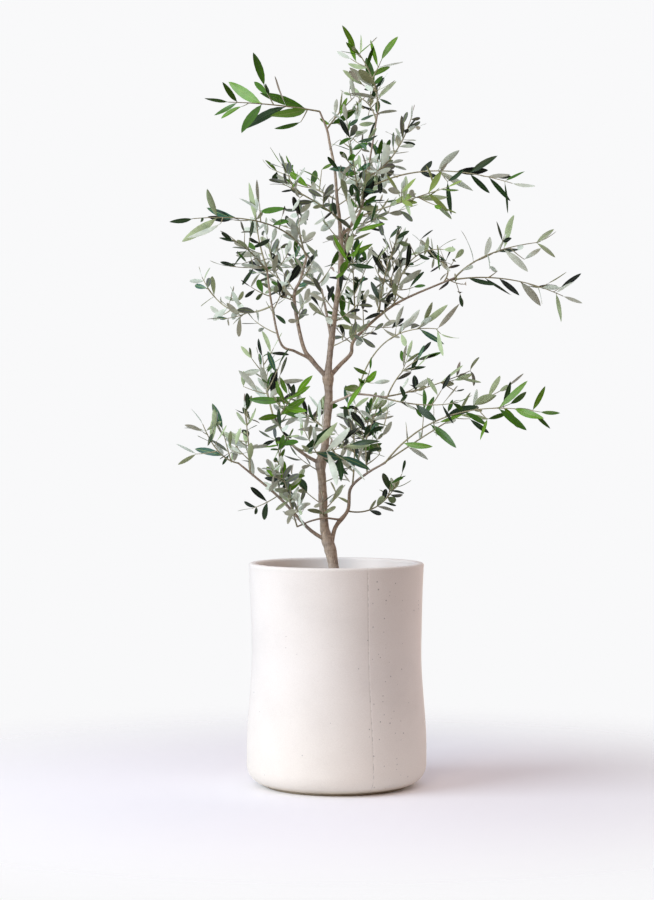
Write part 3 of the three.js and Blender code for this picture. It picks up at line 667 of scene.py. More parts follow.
def sweep_tree():
    """Sweeps a round section along lines, as thick as each line says. A noise that runs lengthwise
    raises and lowers its surface into furrows and knots."""
    tree, given, identifiers = new_geometry_tree("Bark sweep", {
        "Sides": ("Int", 8), "Relief": ("Float", 0.0), "Furrows": ("Float", 2.2),
        "Length scale": ("Float", 90.0), "Material": ("Material", None),
    })
    read, store = "GeometryNodeInputNamedAttribute", "GeometryNodeStoreNamedAttribute"
    node = partial(add_node, tree)
    thick, grain, run = [node(read, {"Name": name}, data_type="FLOAT")
                         for name in ("thick", "grain", "run")]
    around = node(read, {"Name": "around"}, data_type="FLOAT_VECTOR")
    lines = node("GeometryNodeMeshToCurve", {"Mesh": given})
    along = node("GeometryNodeSplineParameter").outputs["Length"]
    lines = node(store, {"Geometry": lines, "Name": "run", "Value": along},
                 data_type="FLOAT", domain="POINT")
    sides = given.outputs["Sides"]
    ring = node("GeometryNodeCurvePrimitiveCircle", {"Resolution": sides, "Radius": 1.0})
    spot = node("GeometryNodeInputPosition")
    ring = node(store, {"Geometry": ring, "Name": "around", "Value": spot},
                data_type="FLOAT_VECTOR", domain="POINT")
    swept = node("GeometryNodeCurveToMesh",
                 {"Curve": lines, "Profile Curve": ring, "Scale": thick, "Fill Caps": True})
    height = node("Math", {0: run, 1: given.outputs["Length scale"]}, operation="MULTIPLY")
    lift = node("CombineXYZ", {"Z": height})
    wide = node("VectorMath", {0: around, "Scale": given.outputs["Furrows"]}, operation="SCALE")
    place = node("VectorMath", {0: wide, 1: lift}, operation="ADD")
    noise = node("TexNoise",
                 {"Vector": place, "W": grain, "Scale": 1.0, "Detail": 4.0, "Roughness": 0.62},
                 noise_dimensions="4D")
    rise = node("Math", {0: noise, 1: 0.5}, operation="SUBTRACT")
    for factor in (given.outputs["Relief"], thick):
        rise = node("Math", {0: rise, 1: factor}, operation="MULTIPLY")
    outward = node("GeometryNodeInputNormal")
    offset = node("VectorMath", {0: outward, "Scale": rise}, operation="SCALE")
    moved = node("GeometryNodeSetPosition", {"Geometry": swept, "Offset": offset})
    end_tree(tree, given, node("GeometryNodeSetShadeSmooth", {0: moved}))
    return tree, identifiers


def swept_piece(name, lines, **values):
    """One piece from many lines, each with its points, radii and grain number, in millimetres."""
    points, edges, thick, grain = [], [], [], []
    for line, radii, number in lines:
        first = len(points)
        points += [tuple(p * MM) for p in line]
        edges += [(i, i + 1) for i in range(first, len(points) - 1)]
        thick += [r * MM for r in radii]
        grain += [number] * len(line)
    mesh = bpy.data.meshes.new(name)
    mesh.from_pydata(points, edges, [])
    for label, numbers in (("thick", thick), ("grain", grain)):
        mesh.attributes.new(label, "FLOAT", "POINT").data.foreach_set("value", numbers)
    return baked(object_of(name, mesh), sweep_tree(), **values)


# Materials

MULTIPLY = {"data_type": "RGBA", "blend_type": "MULTIPLY"}
SEAM_WIDTH = 0.0007  # how far the groove of the mould seam reaches, in metres
SEAM_LINE = (0.0002, 0.0009)  # the dark line in it fades out between these, in metres
SEAM_DRIFT = -0.17  # how far the seam turns round the wall, in radians for each metre of height
PIT_PLACE = 0.03  # where small pits crowd, beside the seam, in metres
PIT_REACH = 0.05  # how far from there they thin out, in metres
PIT_SPACE = 9.091  # between two places where a pit may be, in millimetres
PIT_RADII = (0.06, 0.15)  # of that space
INNER_LIGHT_FROM = 0.85  # over this share of the height the inside of the rim is painted paler, as painted light


def off_seam(tree, place, settings):
    """How far round the wall a place is from the mould seam, which drifts on its way down."""
    node = partial(add_node, tree)
    x, y, z = node("SeparateXYZ", {0: place}).outputs
    front = node("Math", {0: y, 1: -1.0}, operation="MULTIPLY")
    angle = node("Math", {0: x, 1: front}, operation="ARCTAN2")
    drift = node("Math", {0: z, 1: SEAM_DRIFT, 2: settings.seam_angle}, operation="MULTIPLY_ADD")
    away = node("Math", {0: angle, 1: drift}, operation="SUBTRACT")
    return node("Math", {0: away, 1: settings.rim_radius}, operation="MULTIPLY")


def pit_mask(tree, place, aside):
    """1 on the sound wall and 0 in the air pits, which crowd at one side of the seam. Cells of a
    random colour cover the wall, and the colour says whether a cell has a pit and how wide."""
    node = partial(add_node, tree)
    from_pits = node("Math", {0: aside, 1: PIT_PLACE}, operation="SUBTRACT")
    apart = node("Math", {0: from_pits}, operation="ABSOLUTE")
    rare = node("MapRange", {0: apart, 1: 0.01, 2: PIT_REACH, 3: 0.1, 4: 0.93})
    cells = node("TexVoronoi", {"Vector": place, "Scale": per_metre(PIT_SPACE), "Randomness": 1.0})
    lot, size, _ = node("SeparateColor", {0: cells.outputs["Color"]}).outputs
    chosen = node("Math", {0: lot, 1: rare}, operation="GREATER_THAN")
    width = node("MapRange", {0: size, 3: PIT_RADII[0], 4: PIT_RADII[1]})
    inside = node("Math", {0: cells.outputs["Distance"], 1: width}, operation="LESS_THAN")
    pit = node("Math", {0: chosen, 1: inside}, operation="MULTIPLY")
    return node("Math", {0: 1.0, 1: pit}, operation="SUBTRACT")


def cement_material(settings):
    """Fibre cement, cast in a mould and rubbed down by hand: matt and off-white, clouded by uneven
    drying and sandy up close. The mould left a thin broken line and a few air pits beside it, and
    the pits are painted dark as painted shade. Painted shade darkens the wall towards the foot and
    paints a dark brown contact shadow at its edge; painted light makes it paler towards the top,
    and the inside of the rim is painted paler."""
    base = tuple(settings.cement)
    material, tree, shader, place = new_material("cast_fibre_cement", base, 0.82,
                                                 Specular_IOR_Level=0.35)
    node = partial(add_node, tree)
    # Clouds from drying, sand drawn three times as coarse as real, and the seam's broken places:
    # size in millimetres, detail and roughness
    sizes = ((111.1, 5.0, 0.6), (1.613, 3.0, 0.7), (4.762, 2.0, 0.5))
    cloud, grit, broken = [
        node("TexNoise",
             {"Vector": place, "Scale": per_metre(size), "Detail": detail, "Roughness": rough})
        for size, detail, rough in sizes]
    tint = ramp(tree, cloud, [(0.3, rgba(base, 0.95)), (0.5, rgba(base)), (0.75, rgba(base, 1.03))])
    sand = ramp(tree, grit, [(0.25, "#F7F6F5"), (0.6, "#FFFFFF")])
    high = node("SeparateXYZ", {0: place}).outputs["Z"]
    share = node("MapRange", {0: high, 1: 0.0, 2: settings.height})
    # painted shade and light by height: darker towards the foot, with a dark brown painted contact shadow
    # at its very edge, and paler towards the top
    painted_height_shade = ramp(tree, share, [(0.0, "#AE9E84"), (0.009, "#DCD4C5"), (0.035, "#F6F4F0"),
                                  (0.55, "#FBFBFB"), (0.88, "#FFFFFF")])
    for layer in (sand, painted_height_shade):
        tint = node("Mix", {0: 1.0, 6: tint, 7: layer}, **MULTIPLY)
    aside = off_seam(tree, place, settings)
    sound = pit_mask(tree, place, aside)
    seam = node("Math", {0: aside}, operation="ABSOLUTE")
    mark = node("MapRange", {0: seam, 1: SEAM_LINE[0], 2: SEAM_LINE[1], 3: 0.85, 4: 0.0})
    line = node("MapRange", {0: broken, 1: 0.4, 2: 0.62, 3: 0.0, 4: 1.0})
    worn = node("MapRange", {0: cloud, 1: 0.4, 2: 0.6, 3: 0.25, 4: 0.8})
    for part in (line, worn):
        mark = node("Math", {0: mark, 1: part}, operation="MULTIPLY")
    level = node("VectorMath", {0: place, 1: (1, 1, 0)}, operation="MULTIPLY")
    radius = node("VectorMath", {0: level}, operation="LENGTH")
    inner = settings.rim_radius - settings.wall
    within = node("MapRange", {0: radius, 1: inner, 2: inner + settings.wall / 2, 3: 1.0, 4: 0.0})
    topmost = node("Math", {0: share, 1: INNER_LIGHT_FROM}, operation="GREATER_THAN")
    painted_inner_light = node("Math", {0: within, 1: topmost}, operation="MULTIPLY")
    tint = node("Mix", {0: mark, 6: tint, 7: rgba(base, 0.45)}, data_type="RGBA")
    # painted shade: the air pits are painted dark, for the shade in their hollows
    tint = node("Mix", {0: sound, 6: rgba(base, 0.55), 7: tint}, data_type="RGBA")
    # painted light: near the top, the inside of the rim is painted paler, as if more brightly lit
    tint = node("Mix", {0: painted_inner_light, 6: tint, 7: rgba(linear("#FBF8F5"))}, data_type="RGBA")
    rough = node("MapRange", {0: cloud, 3: 0.74, 4: 0.9})
    height = node("Mix", {0: 0.25, 2: sound, 3: grit}, data_type="FLOAT")
    bump = node("Bump", {"Strength": 0.35, "Distance": 0.0007, "Height": height})
    fill_inputs(tree, shader, {"Base Color": tint, "Roughness": rough, "Normal": bump})
    return material


def grainy_material(name, base, size, detail, rough, stops, strength, depth, **sockets):
    """A material whose one noise, with features of a size in millimetres, gives both its colour,
    as shares of the base colour, and its relief."""
    material, tree, shader, place = new_material(name, base, **sockets)
    grain = add_node(tree, "TexNoise",
                     {"Vector": place, "Scale": per_metre(size), "Detail": detail, "Roughness": rough})
    tint = ramp(tree, grain, [(position, rgba(base, share)) for position, share in stops])
    fill_inputs(tree, shader, {"Base Color": tint})
    if depth:
        bump = add_node(tree, "Bump", {"Strength": strength, "Distance": depth, "Height": grain})
        fill_inputs(tree, shader, {"Normal": bump})
    return material


def compost_material():
    """Moist peat-based potting mix, watered and settled: dark brown and dull, in crumbs of about
    4 mm. The hollows between them are painted near-black, as painted shade."""
    # painted shade: the lowest stop darkens the hollows that the same noise sinks
    return grainy_material("moist_potting_mix", linear("#3B2E25"), 3.846, 6.0, 0.7,
                           ((0.3, 0.4), (0.52, 1.0), (0.72, 2.1)), 0.8, 0.0015, roughness=0.95)


def chip_material():
    """Pine bark, broken into chips: brown and dull, with paler faces where it split."""
    return grainy_material("broken_bark_chips", linear("#5A4433"), 10.526, 4.0, 0.65,
                           ((0.35, 0.45), (0.5, 1.0), (0.66, 1.9)), 0.0, 0.0, roughness=0.9)


def leaf_material(name, colour, roughness, wax):
    """Olive leaf, grown with a leathery skin: the upper side has a thin wax that shines softly,
    and the underside is felted and dull. Its faint mottling, real at 1 to 2 mm, is drawn coarser."""
    return grainy_material("olive_leaf_" + name, linear(colour), 9.091, 3.0, 0.6,
                           ((0.3, 0.86), (0.5, 1.0), (0.72, 1.14)), 0.15, 0.0002, roughness=roughness,
                           Specular_IOR_Level=0.3, Coat_Weight=wax, Coat_Roughness=0.3)


def bark_material(name, base, warm, dark, size):
    """Olive bark, grown and weathered: dull grey-brown with warm rubbed ridges, dark furrows, pale
    breathing pores and faint rings. size is a furrow's width in millimetres, drawn twice as coarse
    as real on so young a tree, or it would not show. Furrows are over three times as long."""
    material, tree, shader, place = new_material(name, base, 0.86, Specular_IOR_Level=0.3)
    scale = per_metre(size)
    node = partial(add_node, tree)
    stretched = node("Mapping", {"Vector": place, "Scale": (1, 1, 0.28)})
    fine = node("TexNoise", {"Vector": stretched, "Scale": scale, "Detail": 6.0, "Roughness": 0.68})
    broad = node("TexNoise", {"Vector": place, "Scale": scale / 9, "Detail": 3.0, "Roughness": 0.55})
    furrow = ramp(tree, fine, [(0.26, rgba(dark)), (0.44, rgba(base)), (0.68, rgba(warm))])
    patch = ramp(tree, broad, [(0.35, "#EAECEF"), (0.6, "#FFFDF8")])
    toned = node("Mix", {0: 1.0, 6: furrow, 7: patch}, **MULTIPLY)
    cells = node("TexVoronoi", {"Vector": stretched, "Scale": scale / 2.2})
    pores = ramp(tree, cells, [(0.1, "#FFFFFF"), (0.17, "#000000")])
    dotted = node("Mix", {0: pores, 6: toned, 7: rgba(warm, 1.25)}, data_type="RGBA")
    wave = node("TexWave",
                {"Vector": place, "Scale": per_metre(31.25), "Distortion": 5.0, "Detail": 3.0,
                 "Detail Scale": 2.0, "Detail Roughness": 0.6}, bands_direction="Z")
    rings = ramp(tree, wave, [(0.05, "#F1EFEC"), (0.3, "#FFFFFF")])
    ringed = node("Mix", {0: 1.0, 6: dotted, 7: rings}, **MULTIPLY)
    bump = node("Bump", {"Strength": 0.6, "Distance": 0.0006, "Height": fine})
    fill_inputs(tree, shader, {"Base Color": ringed, "Normal": bump})
    return material


# Settings


def number_setting(label, default, words, **kind):
    return bpy.props.FloatProperty(name=label, description=words, default=default, **kind)


def length_setting(label, default_mm, words):
    return number_setting(label, default_mm * MM, words, min=0.0, unit="LENGTH",
                          subtype="DISTANCE", precision=4)


def colour_setting(label, hex_colour, words):
    return bpy.props.FloatVectorProperty(name=label, description=words, size=3, min=0.0, max=1.0,
                                         default=linear(hex_colour), subtype="COLOR")


class OlivePlanterSettings(bpy.types.PropertyGroup):
    height: length_setting("Height", 372, "From the floor to the rim")
    rim_radius: length_setting("Rim radius", 146, "Outside of the rim")
    waist_radius: length_setting("Waist radius", 141.5, "Outside of the narrowest place")
    waist_height: length_setting("Waist height", 225, "Height of the narrowest place")
    bulge_radius: length_setting("Bulge radius", 150, "Outside of the widest place, near the floor")
    bulge_height: length_setting("Bulge height", 60, "Height of the widest place")
    foot_radius: length_setting("Foot radius", 118, "Radius of the flat foot")
    foot_height: length_setting("Foot height", 4, "Height of the foot under the round heel")
    heel_radius: length_setting("Heel radius", 33, "Round turn from the foot into the side")
    lip_radius: length_setting("Lip radius", 4, "Rounding of both edges of the rim")
    wall: length_setting("Wall", 13, "Thickness of the wall")
    floor: length_setting("Floor", 24, "Thickness of the floor")
    unevenness: length_setting("Unevenness", 0.45, "How far the cast wall swells and dips")
    seam_depth: length_setting("Seam", 0.3, "Depth of the fine groove that the mould left")
    seam_angle: number_setting("Seam angle", math.radians(24), "Where the mould seam meets the floor",
                               subtype="ANGLE", unit="ROTATION")
    cement: colour_setting("Cement", "#F4F0EA", "Colour of the cast wall")


class OliveTreeSettings(bpy.types.PropertyGroup):
    bark: colour_setting("Bark", "#AFA194", "Colour of the bark")
    bark_light: colour_setting("Bark ridges", "#D0C1B0", "Colour of rubbed ridges and pores")
    bark_dark: colour_setting("Bark furrows", "#6A5A4C", "Colour in the furrows")
    relief: number_setting("Bark relief", 0.42, "Depth of the furrows, of the radius",
                           min=0.0, max=1.0, subtype="FACTOR")
    twig: colour_setting("Young twigs", "#A8A78B", "Colour of this year's twigs")
    twig_light: colour_setting("Twig ridges", "#C9C4A6", "Colour of their ridges and pores")
    twig_dark: colour_setting("Twig furrows", "#7D7A5E", "Colour in their furrows")
    leaf_fold: number_setting("Leaf fold", 0.28, "How far a leaf's halves rise from its midrib",
                              min=0.0, max=1.0, subtype="FACTOR")


class OliveStageSettings(bpy.types.PropertyGroup):
    floor: colour_setting("Floor", "#FAFAFC", "Colour of the plain floor")
    backdrop: colour_setting("Backdrop", "#F9F9FA", "Colour of the plain background")
    key_power: number_setting("Key light", 119.0, "Power of the large soft light",
                              min=0.0, unit="POWER")
    front_power: number_setting("Front light", 27.0, "Power of the weaker light from the front",
                                min=0.0, unit="POWER")
    key_tint: colour_setting("Key tint", "#E9F4FF", "Colour of the key light")
    front_tint: colour_setting("Front tint", "#FFE4CC", "Colour of the front light")
    side_fill: colour_setting("Side fill", "#4D3A32", "Colour of the weak light from the sides")
    top_fill: colour_setting("Top fill", "#C8C4D0", "Colour of the weak light from above")
    glow_colour: colour_setting("Glow tint", "#FFE9DD", "Colour of the glow behind on the right")
    glow: number_setting("Glow", 2.5, "Brightness of the glow behind on the right", min=0.0)
    fill: number_setting("Fill", 1.0, "Brightness of the weak light from all sides", min=0.0)
    distance: length_setting("Camera distance", 4160, "From the camera to the pot's middle")
    eye_height: length_setting("Eye height", 645, "Height of the camera over the floor")
    lens: number_setting("Lens", 99.84, "Focal length in millimetres", unit="CAMERA")


# Planter

HEM = 0.0012  # bevel round the flat foot, in metres
FLARE = 1.6  # how late the wall flares out between waist and rim
LOOSE = {"foot": 0.0, "heel": 0.6, "side": 1.0, "lip": 0.35, "inside": 0.2}  # how uneven each part is
SEAM_SIDES = (-2.5, -1.2, -0.5, 0, 0.5, 1.2, 2.5)  # upright edges beside the seam, in millimetres
SEAM_CLEAR = 0.01  # how far the even edges keep from those, in radians
PLANTER_EDGES, SOIL_EDGES = 180, 120  # upright edges of the turned shapes

# Swells of the cast wall: strength, waves round it, radians for each metre of height, and start
SWELLS = ((0.5, 3, 17, 0.6), (0.35, 5, -31, 2.1), (0.15, 11, 58, 0))


def outer_radius(s, height):
    """Radius of the planter's outside at a height."""
    if height > s.waist_height:
        t = (height - s.waist_height) / (s.height - s.waist_height)
        return mix(s.waist_radius, s.rim_radius, t ** FLARE)
    t = max(0.0, (height - s.bulge_height) / (s.waist_height - s.bulge_height))
    return mix(s.bulge_radius, s.waist_radius, (1 - math.cos(math.pi * t)) / 2)


def arc(radius, middle, start, end, steps):
    angles = np.radians(np.linspace(start, end, steps + 1))
    return [(middle[0] + radius * math.cos(a), middle[1] + radius * math.sin(a)) for a in angles]


def inner_heel(s):
    """Middle of the round turn from the planter's inner floor into its wall."""
    return s.bulge_radius - s.wall - s.heel_radius, s.floor + s.heel_radius


def planter_profile(s):
    """Half section of the planter as radius and height, with how far each point may be uneven."""
    foot = [(0, 0), (s.foot_radius * 0.5, 0), (s.foot_radius - HEM, 0), (s.foot_radius, HEM)]
    middle = (s.bulge_radius - s.heel_radius, s.foot_height + s.heel_radius)
    heel = arc(s.heel_radius, middle, -88, 0, 12)
    heights = np.linspace(s.bulge_height, s.height - 1.6 * s.lip_radius, 44)
    side = [(outer_radius(s, z), z) for z in heights]
    top = s.height - s.lip_radius
    lip = arc(s.lip_radius, (s.rim_radius - s.lip_radius, top), 0, 90, 5)
    lip += arc(s.lip_radius, (s.rim_radius - s.wall + s.lip_radius, top), 90, 180, 5)
    heights = np.linspace(s.height - 3 * s.lip_radius, s.bulge_height, 14)
    inside = [(outer_radius(s, z) - s.wall, z) for z in heights]
    inside += arc(s.heel_radius, inner_heel(s), 0, -90, 6) + [(0, s.floor)]
    parts = zip((foot, heel, side, lip, inside), LOOSE.values())
    return [(point, loose) for points, loose in parts for point in points]


def unevenness(angle, height):
    """A slow swell over the cast wall, between -1 and 1, for heights in metres."""
    return sum(strength * math.sin(waves * angle + rise * height + start)
               for strength, waves, rise, start in SWELLS)


def lathe(name, rows, angles, material, swell=None, drift=0.0):
    """A closed turned shape: its first and last rows are single points on the axis. Its upright
    edges turn round it by drift radians for each metre of height."""
    points, faces = [], []
    count = len(angles)
    for (radius, height), loose in rows:
        if radius == 0:
            points.append((0, 0, height))
            continue
        for angle in angles:
            r = radius + (swell(angle, height) * loose if swell else 0)
            turned = angle + drift * height
            points.append((r * math.sin(turned), -r * math.cos(turned), height))
    last = len(points) - 1
    rings = (len(points) - 2) // count
    for j in range(count):
        k = (j + 1) % count
        foot = 1 + (rings - 1) * count
        faces.append((0, 1 + k, 1 + j))
        faces.append((last, foot + j, foot + k))
        for a in range(1, foot, count):
            faces.append((a + j, a + k, a + count + k, a + count + j))
    return mesh_of(name, points, faces, [material])


class OLIVE_OT_planter(bpy.types.Operator):
    """Builds the cast planter with its uneven wall and its mould seam."""
    bl_idname = "olive.planter"
    bl_label = "Planter"

    def execute(self, context):
        s = context.scene.olive_planter
        near = [s.seam_angle + aside * MM / s.rim_radius for aside in SEAM_SIDES]
        even = [a for a in np.linspace(0, 2 * math.pi, PLANTER_EDGES, endpoint=False)
                if not near[0] - SEAM_CLEAR < a < near[-1] + SEAM_CLEAR]

        def swell(angle, height):
            aside = (angle - s.seam_angle) * s.rim_radius
            seam = s.seam_depth * math.exp(-((aside / SEAM_WIDTH) ** 2))
            return s.unevenness * unevenness(angle, height) - seam

        angles = sorted([*even, *near])
        mesh = lathe("planter", planter_profile(s), angles, cement_material(s), swell, SEAM_DRIFT)
        finish_piece(object_of("planter", mesh), "cement", "pot")
        return {"FINISHED"}


# Soil

SOIL_GAP = 0.0003  # between the soil and the planter, in metres
SOIL_DIP = 0.0015  # how far the settled surface lies under the soil's top, in metres
CLOD_RISE, CRUMB_RISE = 0.0016, 0.0007  # how high clods and crumbs stand out, in metres
MOUND_RISE, MOUND_REACH = 0.004, 0.03  # the heap round the trunk, in metres
TRUNK_X = TRUNK_LINE[0][0] * MM  # where the trunk stands in it
SHOULDER = 0.004  # height of the soil's sloping shoulder at the wall, in metres
SHOULDER_START = 0.985  # where the surface starts, of the soil's radius
CHIP_DEPTH = 8  # how far under the soil's top chips still lie, in millimetres
CHIP_FLATNESS = 0.4  # how much a face has to look up to hold one
CHIP_RADIUS = 0.0026  # of a chip of size 1, in metres
CHIP_LEAST, CHIP_MOST = (0.5, 0.35, 0.25), (1.7, 1.0, 0.7)  # its length, width and thickness


def soil_height(x, y):
    """Height of the potting mix in clods, crumbs and a mound round the trunk, in metres."""
    clods = math.sin(x * 190 + 1.3 * math.sin(y * 150)) * math.sin(y * 170 + 1.1 * math.sin(x * 130))
    crumbs = math.sin(x * 610 + y * 340) * math.sin(y * 560 - x * 280)
    mound = math.exp(-((math.hypot(x - TRUNK_X, y) / MOUND_REACH) ** 2))
    level = SOIL_TOP * MM - SOIL_DIP
    return level + CLOD_RISE * clods + CRUMB_RISE * crumbs + MOUND_RISE * mound


def crumb_tree():
    """Scatters broken chips over the soil's upward faces."""
    tree, given, identifiers = new_geometry_tree("Soil chips", {
        "Density": ("Float", 20000.0), "Seed": ("Int", 4), "Smallest": ("Float", 0.5),
        "Largest": ("Float", 1.6), "Material": ("Material", None),
    })
    seed = given.outputs["Seed"]
    node = partial(add_node, tree)
    normal = node("GeometryNodeInputNormal")
    upward = node("SeparateXYZ", {0: normal}).outputs["Z"]
    spot = node("GeometryNodeInputPosition")
    height = node("SeparateXYZ", {0: spot}).outputs["Z"]
    high = node("Math", {0: height, 1: (SOIL_TOP - CHIP_DEPTH) * MM}, operation="GREATER_THAN")
    open_top = node("Math", {0: upward, 1: high}, operation="MULTIPLY")
    chosen = node("Math", {0: open_top, 1: CHIP_FLATNESS}, operation="GREATER_THAN")
    spots = node("GeometryNodeDistributePointsOnFaces",
                 {"Mesh": given, "Selection": chosen, "Density": given.outputs["Density"], "Seed": seed})
    chip = node("GeometryNodeMeshIcoSphere", {"Radius": CHIP_RADIUS, "Subdivisions": 1})
    turn = node("FunctionNodeRandomValue", {"Seed": seed, 1: (6.28, 6.28, 6.28)},
                data_type="FLOAT_VECTOR")
    size = node("FunctionNodeRandomValue",
                {2: given.outputs["Smallest"], 3: given.outputs["Largest"], "Seed": 7},
                data_type="FLOAT")
    slim = node("FunctionNodeRandomValue",
                {0: CHIP_LEAST, 1: CHIP_MOST, "Seed": 9}, data_type="FLOAT_VECTOR")
    scale = node("VectorMath", {0: slim, "Scale": size}, operation="SCALE")
    placed = node("GeometryNodeInstanceOnPoints",
                  {"Points": spots, "Instance": chip, "Rotation": turn, "Scale": scale})
    end_tree(tree, given, placed)
    return tree, identifiers


class OLIVE_OT_soil(bpy.types.Operator):
    """Builds the lumpy potting mix inside the planter and the bark chips on it."""
    bl_idname = "olive.soil"
    bl_label = "Soil"

    def execute(self, context):
        s = context.scene.olive_planter
        top = SOIL_TOP * MM
        under = [(0, s.floor + SOIL_GAP)] + arc(s.heel_radius - SOIL_GAP, inner_heel(s), -90, 0, 6)
        heights = np.linspace(s.bulge_height + 0.01, top - SHOULDER, 8)
        side = [(outer_radius(s, z) - s.wall - SOIL_GAP, z) for z in heights]
        surface = [(side[-1][0] * t, top) for t in np.linspace(SHOULDER_START, 0, 48)]
        rows = [(point, 0.0) for point in under + side + surface]
        angles = np.linspace(0, 2 * math.pi, SOIL_EDGES, endpoint=False)
        mesh = lathe("soil", rows, angles, compost_material())
        for vertex in mesh.vertices:
            x, y, z = vertex.co
            if z > top - 0.001:
                vertex.co.z = soil_height(x, y)
        mesh.update()
        soil = object_of("soil", mesh)
        chips = object_of("soil_chips", mesh.copy())
        baked(chips, crumb_tree(), Material=chip_material())
        finish_piece(soil, "compost", "soil")
        finish_piece(chips, "compost")
        return {"FINISHED"}


# Trunk and boughs

LIMB_STEP = 2.6  # between two rings of a limb, in millimetres
COLLAR_LENGTH = 7  # how far a bough's thick collar reaches, in millimetres
COLLAR_SWELL = 0.45  # how much thicker the bough is there
KNOT_LENGTH = 9  # how far a limb is swollen where a bough leaves it, in millimetres
KNOT_SWELL = 0.3  # how much it is swollen, of the bough's radius
SUNK = 5  # how far the trunk reaches into the soil, in millimetres


def limb_line(tree, name):
    """A limb's rings: swollen where its boughs leave, and at its own collar."""
    limb = tree.limbs[name]
    length = limb.path.length
    shares = np.linspace(0, 1, max(8, int(length / LIMB_STEP)))
    line, radii = limb.path.at(shares), limb.radius(shares)
    for child, (parent, share) in tree.parents.items():
        if parent == name:
            swell = KNOT_SWELL * tree.limbs[child].radius(0.0)
            radii = radii + swell * np.exp(-(((shares - share) * length / KNOT_LENGTH) ** 2))
    if name == "trunk":
        line[0, 2] -= SUNK
    else:
        radii = radii * (1 + COLLAR_SWELL * np.exp(-((shares * length / COLLAR_LENGTH) ** 2)))
    return line, radii


class OLIVE_OT_limbs(bpy.types.Operator):
    """Builds the trunk and the boughs with the relief of their bark."""
    bl_idname = "olive.limbs"
    bl_label = "Trunk and boughs"

    def execute(self, context):
        s = context.scene.olive_tree
        tree = Tree()
        bark = bark_material("weathered_olive_bark", tuple(s.bark), tuple(s.bark_light),
                             tuple(s.bark_dark), 2.381)
        trunk = [(*limb_line(tree, "trunk"), 0.0)]
        values = {"Sides": 28, "Relief": s.relief, "Furrows": 2.0, "Length scale": 95.0}
        piece = swept_piece("trunk_bark", trunk, **values, Material=bark)
        finish_piece(piece, "bark", "trunk")
        boughs = [(*limb_line(tree, name), 3.0 * (i + 1)) for i, name in enumerate(tree.parents)]
        values = {"Sides": 16, "Relief": s.relief * 0.8, "Furrows": 1.6, "Length scale": 120.0}
        piece = swept_piece("bough_bark", boughs, **values, Material=bark)
        finish_piece(piece, "bark", *[name + "_bough" for name in tree.parents])
        return {"FINISHED"}


# Twigs and leaves

# Share of the leaf's length, then share of its widest half, for a pointed and for a blunt leaf
LEAF_ROWS = [
    (0.0, 0.1, 0.1), (0.07, 0.12, 0.12), (0.17, 0.5, 0.36), (0.32, 0.86, 0.7), (0.5, 1.0, 0.94),
    (0.67, 0.92, 1.0), (0.82, 0.66, 0.86), (0.93, 0.34, 0.56),
]
RING_FACES = ((0, 1, 0), (1, 2, 1), (2, 3, 0), (3, 4, 2), (4, 0, 2))  # two corners and the finish
RIB_SHARE, WIDEST_RIB = 0.3, 0.38  # half the midrib, of half the leaf, and in millimetres
KEEL_SHARE, LEAST_KEEL = 0.006, 0.22  # half the thickness, of the length, and in millimetres
ARCH = 0.25  # how far each half arches, of its width
TWIG_STEP = 6  # between two rings of a twig, in millimetres

# How a leaf is bent, as spans of shares of its length or, for its twist, of radians
CURLS, BENDS, TWISTS = (-0.28, 0.12), (-0.14, 0.14), (-0.6, 0.6)
SLIMNESS = (0.84, 1.14)
SHORT_TO_LONG = (1.16, 0.72)  # how wide a leaf is in a spray of short leaves and of long ones
BLUNTNESS = (0.6, 1.0)
SHORT_LEAF, BLUNT_LEAF = 34, 36  # from here up leaves grow slimmer, and less blunt
SLIM_SPAN, BLUNT_SPAN = 22, 20  # over so many millimetres of length
SILVER_SHARE = 0.6  # how many undersides are silvery rather than green


def leaf_arrays(leaves, fold):
    """Points, faces and material numbers of many leaves. Each is a thin closed blade of a few
    faces: two halves folded up from a narrow midrib, over one silvery underside."""
    columns = ("root", "along", "face", "size", "shape", "tones")
    roots, along, face, size, shape, tones = (np.array([leaf[key] for leaf in leaves]) for key in columns)
    side = np.cross(along, face)
    curl, bend, twist, slim, blunt = shape.T
    half = LEAF_WIDTH / 2 * size * slim
    rings = []
    for t, pointed_width, blunt_width in LEAF_ROWS:
        wide = mix(pointed_width, blunt_width, blunt)
        w = half * wide
        rib = np.minimum(WIDEST_RIB, w * RIB_SHARE)
        thick = np.maximum(LEAST_KEEL, KEEL_SHARE * size * wide)
        rise = fold * (w - rib)
        x = np.stack([-w, -rib, rib, w, 0 * w], 1)
        z = np.stack([rise, 0 * w, 0 * w, rise, -2 * thick], 1)
        arch = ARCH * (w - rib) ** 2 / np.maximum(half, 1e-6)
        z -= arch[:, None] * np.array([1, 0, 0, 1, 0])
        turn = (twist * t)[:, None]
        across = x * np.cos(turn) - z * np.sin(turn) + (bend * size * t * t)[:, None]
        lift = x * np.sin(turn) + z * np.cos(turn) + (curl * size * t * t)[:, None]
        ring = roots[:, None] + along[:, None] * (size * t)[:, None, None]
        rings.append(ring + side[:, None] * across[..., None] + face[:, None] * lift[..., None])
    tip = roots + along * size[:, None] + side * (bend * size)[:, None] + face * (curl * size)[:, None]
    points = np.concatenate([*rings, tip[:, None]], 1)
    per_leaf = points.shape[1]
    faces, kinds = [], []
    for k in range(len(LEAF_ROWS)):
        a, b = 5 * k, 5 * (k + 1)
        for left, right, kind in RING_FACES:
            if k == len(LEAF_ROWS) - 1:
                faces.append((a + left, a + right, b))
            elif kind == 2:
                faces.append((a + right, b + right, b + left, a + left))
            else:
                faces.append((a + left, a + right, b + right, b + left))
            kinds.append(kind)
    faces.append((4, 3, 2, 1, 0))
    kinds.append(2)
    all_faces = [tuple(i + n * per_leaf for i in corners) for n in range(len(leaves)) for corners in faces]
    return points.reshape(-1, 3) * MM, all_faces, tones[:, kinds].reshape(-1), per_leaf


